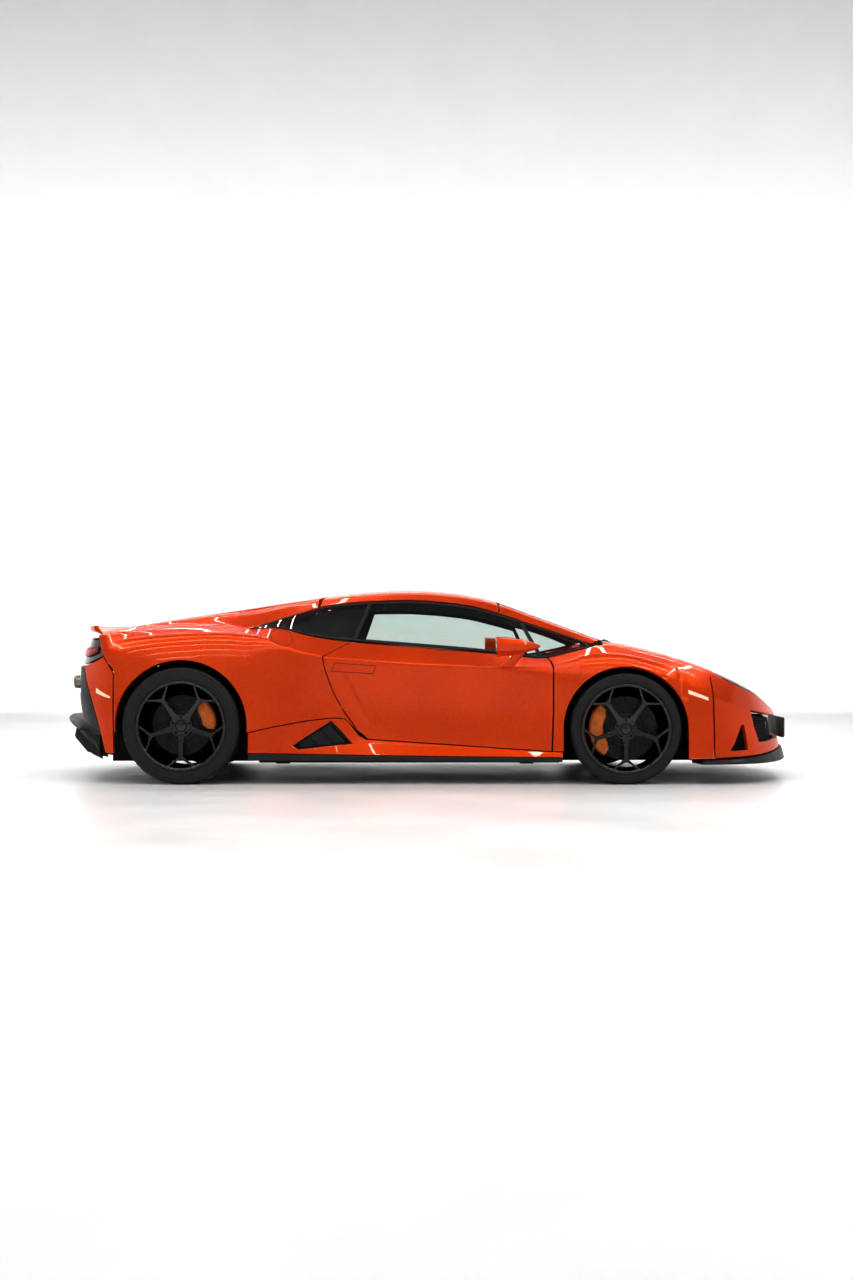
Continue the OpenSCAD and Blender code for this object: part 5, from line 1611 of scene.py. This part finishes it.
# ---------------------------------------------------------------- mirrors, cabin and engine
class CAR_OT_mirrors(bpy.types.Operator):
    """Makes the door mirrors: painted wedge housing and stem, and mirror glass."""
    bl_idname = "car.mirrors"
    bl_label = "Door mirrors"

    def execute(self, context):
        for side, sign in (("left", 1), ("right", -1)):
            body = f"{side}_door"
            housing = self.housing()
            fit(soften(crisp(mesh_object(f"mirror_housing_{side}", *sided(housing, sign)), 30), 4, 3),
                "paint", f"mirror_{side}", body=body)
            stem = self.stem()
            fit(soften(crisp(mesh_object(f"mirror_stem_{side}", *sided(stem, sign))), 3), "paint",
                f"mirror_{side}", body=body)
            ring = [[x, y, z] for x, y, z in self.face(0.86)]
            back = [[x - 1.2, y, z] for x, y, z in ring]
            glass = rails([ring, back])
            fit(crisp(mesh_object(f"mirror_glass_{side}", *sided(glass, sign))), "chrome", f"mirror_{side}",
                body=body, slot="window_glass")
        return {"FINISHED"}

    def face(self, scale):
        """Outline of the open back of the housing."""
        centre = np.array([407.5, 1034, 812])
        ring = [(955, 838), (975, 862), (1040, 869), (1092, 858), (1106, 830), (1098, 786), (1060, 757),
            (1000, 755), (962, 778)]
        return [centre + (np.array([407.5, y, z]) - centre) * scale for y, z in ring]

    def housing(self):
        rim = np.array(self.face(1.0))
        rings = [np.array(self.face(0.9)) + [8, 0, 0], np.array(self.face(0.93)), rim]
        tip = np.array([668, 1004, 814])
        for k, shrink in ((0.14, 0.02), (0.34, 0.1), (0.56, 0.26), (0.76, 0.48), (0.91, 0.72), (0.99, 0.93)):
            centre = rim.mean(axis=0) + (tip - rim.mean(axis=0)) * k
            rings.append(centre + (rim - rim.mean(axis=0)) * (1 - shrink))
        return rails(rings)

    def stem(self):
        rings = []
        for k in np.linspace(0, 1, 9):
            x, y, z = 470 + 74 * k, 946 + 46 * k, 690 + 80 * k
            w, h = 40 - 6 * k, 8 + 3 * k
            rings.append([[x + w * math.cos(a), y + h * math.sin(a), z] for a in np.arange(12) * math.tau /
                12])
        return rails(rings)


class CAR_OT_cabin(bpy.types.Operator):
    """Makes the seats, dashboard, console, steering wheel and floor carpet."""
    bl_idname = "car.cabin"
    bl_label = "Cabin"

    def execute(self, context):
        self.seats()
        self.dashboard()
        self.wheel()
        return {"FINISHED"}

    def seats(self):
        for side, sign in (("left", 1), ("right", -1)):
            shells = []
            for name, part, swell in (("seat_base", self.base_form(), 10), ("seat_back", self.back_form(),
                    10), ("head_rest", self.head_form(), 6)):
                pad = mesh_object(f"{name}_{side}", *part)
                for vertex in pad.data.vertices:
                    vertex.co.y = (vertex.co.y + 0.370) * sign
                smooth = pad.modifiers.new("upholstery", "SUBSURF")
                smooth.levels = smooth.render_levels = 3
                flatten(pad, "upholstery")
                self.channels(pad, swell, sign)
                fit(pad, "leather", "seats")
            shell_part = self.shell_form()
            points = np.asarray(shell_part[0]) + [0, 370, 0]
            shells.append((points if sign > 0 else points * MIRROR, shell_part[1]))
            backing = soften(crisp(mesh_object(f"seat_shell_{side}", *together(*shells)), 50), 4, 2, 50)
            fit(backing, "cabin_black", "seats")

    def cushion(self, stations, section):
        """A cage for a padded form: rings of (across, out) points along stations."""
        rings = []
        for (x, z), (dx, dz), half, deep in stations:
            rings.append([[x + dx * out * deep, half * across, z + dz * out * deep] for across, out in
                section])
        return rails(rings)

    SECTION = ((-1.0, 0.15), (-0.97, 0.8), (-0.72, 1.18), (-0.55, 0.78), (0.0, 0.7), (0.55, 0.78),
        (0.72, 1.18), (0.97, 0.8), (1.0, 0.15), (0.6, 0.0), (-0.6, 0.0))

    def base_form(self):
        up = (0.0, 1.0)
        return self.cushion((((-258, 196), up, 200, 80), ((-240, 194), up, 214, 108), ((-100, 192), up, 216,
            104), ((80, 192), up, 216, 112), ((250, 194), up, 210, 124), ((288, 200), up, 196, 96)),
            self.SECTION)

    def back_form(self):
        stations = []
        for k, half, deep in ((0.0, 196, 60), (0.04, 210, 84), (0.3, 214, 84), (0.6, 206, 78),
                (0.85, 184, 68), (0.97, 168, 54), (1.0, 150, 40)):
            x, z = -330 - 180 * k, 232 + 566 * k
            stations.append(((x, z), (0.95, 0.3), half, deep))
        return self.cushion(stations, self.SECTION)

    def head_form(self):
        stations = []
        for k, half, deep in ((0.0, 92, 38), (0.1, 104, 54), (0.5, 102, 56), (0.85, 92, 48), (1.0, 78, 30)):
            stations.append(((-520 - 32 * k, 812 + 172 * k), (0.97, 0.2), half, deep))
        return self.cushion(stations, self.SECTION)

    def channels(self, pad, depth, sign):
        """Sewn channels across the middle of a pad, and a seam where its bolsters start."""
        mesh = pad.data
        n = len(mesh.vertices)
        at, way = np.zeros(n * 3), np.zeros(n * 3)
        mesh.vertices.foreach_get("co", at)
        mesh.vertices.foreach_get("normal", way)
        at, way = at.reshape(-1, 3), way.reshape(-1, 3)
        across = np.abs(at[:, 1] * sign - 0.370)
        run = at[:, 0] if np.ptp(at[:, 0]) > np.ptp(at[:, 2]) else at[:, 2]
        sewn = 0.5 - 0.5 * np.cos((run % 0.055) / 0.055 * math.tau)
        middle = np.clip((0.115 - across) / 0.02, 0, 1)
        seam = np.exp(-((across - 0.125) / 0.005)**2)
        facing = np.clip(np.maximum(way[:, 2], way[:, 0]), 0, 1)
        sunk = depth * 0.5 * MM * facing * (middle * (1 - sewn**0.4) + seam)
        mesh.vertices.foreach_set("co", (at - way * sunk[:, None]).reshape(-1))
        mesh.update()

    def shell_form(self):
        """Hard back shell of a seat, from the floor runners to the shoulders."""
        rings = []
        for k, half in ((0.0, 214), (0.35, 216), (0.7, 200), (1.0, 160)):
            x, z = -340 - 172 * k, 196 + 612 * k
            rings.append([[x, half, z], [x, -half, z], [x - 22, -half + 14, z + 4], [x - 26, 0, z + 6],
                [x - 22, half - 14, z + 4]])
        back = rails(rings)
        rails_part = []
        for y in (-150, 150):
            rails_part.append(rails([[[x, y + w, z] for w, z in ((-18, 160), (18, 160), (18, 190),
                (-18, 190))] for x in (-240, 280)]))
        return together(back, *rails_part)

    def dashboard(self):
        low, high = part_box("dashboard")
        half = high.y / MM
        side = [(478, 566), (500, 630), (520, 686), (575, 716), (640, 731), (748, 733), (748, 640),
            (700, 520), (600, 440)]
        rings = []
        for y in np.linspace(-half, half, 61):
            hood = 10 * math.exp(-((y - 370) / 150)**2)
            rings.append([[x - (8 if 500 <= x <= 580 else 0) * math.exp(-((y - 370) / 150)**2), y,
                min(z + (hood if z > 680 else 0), 737)] for x, z in side])
        top = crisp(mesh_object("dashboard_moulding", *rails(rings)), 40)
        fit(soften(top, 6, 3), "suede", "dashboard")
        parts = []
        for y in (-560, -200, 80, 560):
            ring = lathe([(26, 0), (32, -5), (34, 0), (30, 8), (26, 6)], 6)
            aim = Matrix.Rotation(math.radians(90), 3, "Z")
            parts.append(moved((ring[0], ring[1].tolist()), (500, y, 628), aim))
        screen = rails([[[516, y, 690], [500, y, 632], [494, y, 634], [510, y, 692]] for y in (250, 490)])
        console = rails([[[x, w, z] for w, z in ((-108, 330), (-96, 372 + lift), (96, 372 + lift),
            (108, 330))] for x, lift in ((-620, 40), (-300, 30), (0, 26), (250, 60), (470, 170))])
        fit(soften(crisp(mesh_object("console_and_vents", *together(screen, console, *parts))), 3),
            "cabin_black")
        self.lining()

    def lining(self):
        """Floor carpet, turned up at its outer sides."""
        parts = []
        for sign in (1, -1):
            rings = [[[x, sign * 118, 152], [x, sign * 690, 152], [x, sign * 692, 200], [x, sign * 696,
                352], [x, sign * 690, 352], [x, sign * 684, 200], [x, sign * 676, 160], [x, sign * 118,
                160]] for x in np.linspace(-690, 748, 30)]
            parts.append(rails(rings))
        fit(crisp(mesh_object("floor_carpet", *together(*parts))), "carpet")

    def wheel(self):
        """Flat-bottomed steering wheel: padded rim, three spokes, boss and column."""
        turn = np.arange(96) * math.tau / 96
        flat = np.minimum(1.0, 0.86 / np.maximum(np.abs(np.cos(turn)), 1e-6))
        reach = np.where(np.cos(turn) < 0, 170 * flat, 170)
        path = np.stack([reach * np.cos(turn), 170 * np.sin(turn), np.zeros(96)], axis=-1)
        grip = tube(path, 14 + 1.6 * np.abs(np.sin(turn))**6, 16, closed=True)
        spokes = []
        for a in (180, 90, 270):
            c, s = math.cos(math.radians(a)), math.sin(math.radians(a))
            rings = []
            for r, w, d in ((36, 26, 11), (70, 20, 8), (120, 17, 7), (162 if a != 180 else 140, 22, 6)):
                rings.append([[r * c - w * s, r * s + w * c, -d], [r * c + w * s, r * s - w * c, -d],
                    [r * c + w * s, r * s - w * c, d], [r * c - w * s, r * s + w * c, d]])
            spokes.append(rails(rings))
        boss = [[[r * math.cos(a), r * math.sin(a), z] for a in turn[::2]] for r, z in ((40, 16), (48, 8),
            (48, -8), (38, -16), (24, -17), (24, -22))]
        column = [[[r * math.cos(a), r * math.sin(a), z] for a in turn[::3]] for r, z in
            ((24, 14), (25, 30), (25, 178))]
        tilt = Matrix.Rotation(math.radians(112), 3, "Y")
        at = (380, 370, 640)
        fit(mesh_object("steering_grip", *moved(grip, at, tilt)), "suede", "steering_wheel",
            body="steering_wheel")
        hub = together(*spokes, rails(boss), rails(column))
        fit(soften(crisp(mesh_object("steering_boss", *moved(hub, at, tilt))), 2), "cabin_black",
            "steering_wheel", body="steering_wheel")


class CAR_OT_underside(bpy.types.Operator):
    """Dresses the structure, arch liners and arms, and makes the engine, luggage tub and wipers."""
    bl_idname = "car.underside"
    bl_label = "Structure and engine"

    def execute(self, context):
        for node, name, slot in (("chassis", "liner_black", "satin_black"), ("wheel_arch_liners",
                "liner_black", "satin_black"), ("wishbones", "dark_alloy", "cast_alloy")):
            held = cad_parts[node]
            held.data.materials.clear()
            held.data.materials.append(finish(name))
        self.arch_walls()
        self.luggage()
        self.engine()
        self.wipers()
        return {"FINISHED"}

    def arch_walls(self):
        """Inner walls of the wheel housings, so that no light comes through over the wheels."""
        parts = []
        for x, z, r, depth in ((FRONT_AXLE_X, FRONT_AXLE_Z, 372, 552), (REAR_AXLE_X, REAR_AXLE_Z, 388, 632)):
            for sign in (1, -1):
                arc = [math.radians(a) for a in range(-28, 209, 6)]
                outline = [[x + r * math.cos(a), z + r * math.sin(a)] for a in arc]
                parts.append(rails([[[p, sign * d, q] for p, q in outline] for d in (depth, depth - 3)]))
        fit(crisp(mesh_object("arch_inner_walls", *together(*parts))), "liner_black")
        rings = []
        for i, x in enumerate(np.linspace(1562, 2120, 42)):
            half = 745 * math.sqrt(1 - ((x - 1200) / 1060)**2)
            z = 186 + 5 * (i // 3 % 2)
            rings.append([[x, -half, z], [x, half, z], [x, half, z + 5], [x, -half, z + 5]])
        fit(crisp(mesh_object("front_undertray", *rails(rings))), "liner_black")

    def luggage(self):
        low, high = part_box("luggage_tub")
        (x0, y0, z0), (x1, y1, z1) = (np.array(c) / MM for c in (low, high))
        rings = []
        for inset, z in ((0, z1), (0, z0 + 20), (20, z0), (40, z0)):
            rings.append(self.rounded(x0 + inset, x1 - inset, y0 + inset, y1 - inset, z))
        for inset, z in ((40, z0 + 10), (28, z0 + 12), (12, z0 + 30), (12, z1 - 6), (8, z1)):
            rings.append(self.rounded(x0 + inset, x1 - inset, y0 + inset, y1 - inset, z))
        tub = crisp(mesh_object("luggage_tub_lining", *rails(rings, closed_run=False)), 50)
        fit(tub, "carpet", "luggage_tub")

    def rounded(self, x0, x1, y0, y1, z, r=24, n=6):
        """A ring round a box, with rounded corners."""
        ring = []
        for cx, cy, a0 in ((x1 - r, y1 - r, 0), (x0 + r, y1 - r, 90), (x0 + r, y0 + r, 180), (x1 - r, y0 +
                r, 270)):
            for i in range(n + 1):
                a = math.radians(a0 + 90 * i / n)
                ring.append([cx + r * math.cos(a), cy + r * math.sin(a), z])
        return ring

    def engine(self):
        """Crankcase, cam covers and intake trumpets under the slats."""
        low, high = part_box("engine")
        (x0, y0, z0), (x1, y1, z1) = (np.array(c) / MM for c in (low, high))
        case = rails([self.rounded(x0, x1, y0 * k, y1 * k, z, 30) for k, z in ((0.55, z0), (0.7, z0 + 60),
            (0.7, z1 - 230), (0.98, z1 - 150))])
        parts = [case]
        for sign in (1, -1):
            banks = []
            for x in (x0 + 30, x0 + 40, x1 - 40, x1 - 30):
                tight = 8 if x in (x0 + 30, x1 - 30) else 0
                banks.append([[x, sign * (y1 - a), b] for a, b in ((10 + tight, z1 - 150 + tight),
                    (30 + tight, z1 - 60 - tight), (120, z1 - 20 - tight), (190 - tight, z1 - 60 - tight),
                    (200 - tight, z1 - 150 + tight))])
            parts.append(rails(banks))
        block = soften(crisp(mesh_object("engine_case", *together(*parts))), 5, 2)
        fit(block, "alloy", "engine")
        runners = []
        for i in range(5):
            for sign in (1, -1):
                x = x0 + 90 + i * 110
                path = [[x, sign * (150 - 120 * k), z1 - 40 + 34 * math.sin(math.pi * k)] for k in
                    np.linspace(0, 1, 12)]
                runners.append(tube(path, 24, 14))
        plenum = tube([[x, 0, z1 - 36] for x in np.linspace(x0 + 40, x1 - 40, 16)], [20] + [34] * 14 + [20],
            20)
        fit(crisp(mesh_object("intake_runners", *together(plenum, *runners)), 60), "dark_alloy", "engine")

    def wipers(self):
        """Two wiper arms parked at the foot of the windscreen."""
        parts = []
        for s0, s1, off in ((7.32, 7.95, 42), (8.0, 8.62, 42)):
            s = np.linspace(s0, s1, 26)
            path, normal = on_skin(SCREEN_FOOT(s) - off * np.sin(np.pi * (s - s0) / (s1 - s0) * 0.5), s, 4)
            parts.append(bead(path, normal, 9, 5, sink=1))
            parts.append(bead(path + np.array([-7, 0, -1]), normal, 4, 3, sink=5))
        fit(crisp(mesh_object("wiper_arms", *together(*parts))), "satin_black")


TUBE_ROWS = (-10000, -7400, -5000, -3000, -1350, 1350, 3000, 5000, 7400, 10000)
CROSS_TUBES = (-4300, 4300)
TUBE_HEIGHT, TUBE_WIDTH = 4600, 75
TUBE_LENGTH, CROSS_TUBE_LENGTH = 9500, 6000
WASH_SHARES = ((0, 1, 1.0), (1, 0, 0.8), (-1, 0, 0.8), (0, -1, 0.22))
WASH_DISTANCE, WASH_HEIGHT, WASH_LENGTH, WASH_WIDTH = 9500, 5500, 17000, 3600
WALL_DISTANCE, WALL_AIM_HEIGHT = 18000, 4200
VIEW_GAMMA, VIEW_EXPOSURE = 0.76, 0.18


class CAR_OT_stage(bpy.types.Operator):
    """Makes the pale floor and wall, the soft studio lights and the camera at the side of the car."""
    bl_idname = "car.stage"
    bl_label = "Studio"

    def execute(self, context):
        studio = context.scene.car_studio
        self.cyclorama()
        for y in TUBE_ROWS:
            self.light("ceiling_tube", (0, y, TUBE_HEIGHT), (0, y, 0), TUBE_LENGTH, TUBE_WIDTH,
                studio.tubes)
        for x in CROSS_TUBES:
            self.light("cross_tube", (x, 0, TUBE_HEIGHT), (x, 0, 0), CROSS_TUBE_LENGTH, TUBE_WIDTH,
                studio.tubes)
        for x, y, share in WASH_SHARES:
            at = (x * WASH_DISTANCE, y * WASH_DISTANCE, WASH_HEIGHT)
            aim = (x * WALL_DISTANCE, y * WALL_DISTANCE, WALL_AIM_HEIGHT)
            self.light("wall_wash", at, aim, WASH_LENGTH, WASH_WIDTH, studio.wash * share)
        world = bpy.data.worlds.new("studio_air")
        world.use_nodes = True
        world.node_tree.nodes["Background"].inputs["Color"].default_value = linear("#f4f5f6")
        world.node_tree.nodes["Background"].inputs["Strength"].default_value = studio.air
        context.scene.world = world
        context.scene.view_settings.view_transform = "Standard"
        context.scene.view_settings.gamma = VIEW_GAMMA
        context.scene.view_settings.exposure = VIEW_EXPOSURE
        self.camera(context.scene, studio)
        return {"FINISHED"}

    def cyclorama(self):
        """Floor that sweeps up into a wall far behind, all round the car."""
        radius, bend, wall = 15000, 3000, 13000
        profile = [(0, 0), (radius / 2, 0), (radius, 0)]
        profile += [(radius + bend * math.sin(a), bend * (1 - math.cos(a))) for a in np.linspace(0, math.pi
            / 2, 13)[1:]]
        profile += [(radius + bend, wall)]
        turns = 96
        points = [[r * math.cos(i * math.tau / turns), r * math.sin(i * math.tau / turns), z] for i in
            range(turns) for r, z in profile]
        m = len(profile)
        faces = [[i * m + j, i * m + j + 1, ((i + 1) % turns) * m + j + 1, ((i + 1) % turns) * m + j][::-1]
            for i in range(turns) for j in range(m - 1)]
        floor = mesh_object("studio_floor", points, faces)
        floor.data.materials.append(poured_resin("poured_resin_floor", linear("#f1f1f0"), linear("#e9e9e8")))

    def light(self, name, at, aim, length, width, power):
        """An area light at a place, aimed at a point, its long side along the car or across it."""
        lamp = bpy.data.lights.new(name, "AREA")
        lamp.shape = "RECTANGLE"
        lamp.size, lamp.size_y = length * MM, width * MM
        lamp.energy = power * length * width * MM * MM
        made = bpy.data.objects.new(name, lamp)
        way = Vector(at) - Vector(aim)
        along_car = Vector((0, 1, 0)) if abs(at[0]) > 3000 else Vector((1, 0, 0))
        back = way.normalized()
        across = (along_car - back * along_car.dot(back)).normalized()
        turn = Matrix((across, back.cross(across), back)).transposed()
        made.matrix_world = Matrix.Translation(Vector(at) * MM) @ turn.to_4x4()
        bpy.context.scene.collection.objects.link(made)

    def camera(self, scene, studio):
        lens = bpy.data.cameras.new("side_camera")
        lens.sensor_fit = "VERTICAL"
        lens.sensor_height = 36.0
        lens.lens = studio.focal_length
        made = bpy.data.objects.new("side_camera", lens)
        made.location = (0.0, -studio.camera_distance, studio.camera_height)
        made.rotation_euler = (math.radians(90), 0, 0)
        scene.collection.objects.link(made)
        scene.camera = made


OPERATORS = (CAR_OT_doors, CAR_OT_flanks, CAR_OT_top, CAR_OT_glass, CAR_OT_nose, CAR_OT_headlights,
    CAR_OT_sills, CAR_OT_tail, CAR_OT_wheels, CAR_OT_brakes, CAR_OT_mirrors, CAR_OT_cabin, CAR_OT_underside,
    CAR_OT_stage)


# ---------------------------------------------------------------- settings
class CarSizes(bpy.types.PropertyGroup):
    """Sizes that shape the looks."""
    edge_radius: bpy.props.FloatProperty(name="Panel edge radius",
        description="Radius that panel edges are rolled to", default=0.002, min=0.0005, max=0.004,
        subtype="DISTANCE", unit="LENGTH")
    cell: bpy.props.FloatProperty(name="Surface cell",
        description="Length of a cell of the panel meshes along the car", default=0.014, min=0.008,
        max=0.05, subtype="DISTANCE", unit="LENGTH")
    tread_blocks: bpy.props.IntProperty(name="Tread blocks", description="Tread blocks round one tyre",
        default=64, min=32, max=90)

    @property
    def edge_mm(self):
        """Panel edge radius in millimetres."""
        return self.edge_radius / MM

    def columns(self, length):
        """Columns of a panel this many millimetres long."""
        return max(4, round(length * MM / self.cell))


def colour(name, description, code):
    """A colour setting with an sRGB hex default."""
    return bpy.props.FloatVectorProperty(name=name, description=description, default=linear(code), size=4,
        min=0, max=1, subtype="COLOR")


class CarColours(bpy.types.PropertyGroup):
    """Colours of the main finishes."""
    paint: colour("Paint", "Metallic basecoat", "#d84807")
    paint_deep: colour("Paint in depth", "Darker cloud in the basecoat", "#b93404")
    paint_flake: colour("Paint flake", "Bright flakes in the basecoat", "#ff8a2e")
    gloss_black: colour("Gloss black", "Lacquered black panels and wheels", "#08080a")
    satin_black: colour("Satin black", "Moulded black trim", "#151618")
    caliper: colour("Caliper", "Enamel of the brake calipers", "#e87c0e")
    glass: colour("Glass", "Tint of the windows", "#eaf2ef")


class CarStudio(bpy.types.PropertyGroup):
    """Lights and camera."""
    tubes: bpy.props.FloatProperty(name="Ceiling tubes",
        description="Watts a square metre of the long light tubes", default=105.0, min=0)
    wash: bpy.props.FloatProperty(name="Wall lights",
        description="Watts a square metre of the lights on the wall", default=13.0, min=0)
    air: bpy.props.FloatProperty(name="Ambient light", description="Strength of the even light all round",
        default=0.12, min=0)
    camera_distance: bpy.props.FloatProperty(name="Camera distance",
        description="Distance of the camera from the middle of the car", default=11.45, min=5,
        subtype="DISTANCE", unit="LENGTH")
    camera_height: bpy.props.FloatProperty(name="Camera height",
        description="Height of the camera over the floor", default=0.85, min=0.1, subtype="DISTANCE",
        unit="LENGTH")
    focal_length: bpy.props.FloatProperty(name="Focal length",
        description="Focal length on a 36 mm tall sensor", default=50.26, min=20)


class CAR_PT_panel(bpy.types.Panel):
    """Sidebar panel with the settings and one button for each group of pieces."""
    bl_idname = "CAR_PT_panel"
    bl_label = "Supercar"
    bl_space_type = "VIEW_3D"
    bl_region_type = "UI"
    bl_category = "Supercar"

    def draw(self, context):
        for group in (context.scene.car_sizes, context.scene.car_colours, context.scene.car_studio):
            box = self.layout.box()
            for setting in group.__annotations__:
                box.prop(group, setting)
        for operator in OPERATORS:
            self.layout.operator(operator.bl_idname)


GROUPS = (("car_sizes", CarSizes), ("car_colours", CarColours), ("car_studio", CarStudio))


def register():
    for name, group in GROUPS:
        bpy.utils.register_class(group)
        setattr(bpy.types.Scene, name, bpy.props.PointerProperty(type=group))
    for made in OPERATORS + (CAR_PT_panel,):
        bpy.utils.register_class(made)


def unregister():
    for made in (CAR_PT_panel,) + OPERATORS[::-1]:
        bpy.utils.unregister_class(made)
    for name, group in GROUPS[::-1]:
        delattr(bpy.types.Scene, name)
        bpy.utils.unregister_class(group)


def main():
    register()
    for operator in OPERATORS:
        getattr(bpy.ops.car, operator.bl_idname.split(".")[1])()


if __name__ == "__main__":
    main()
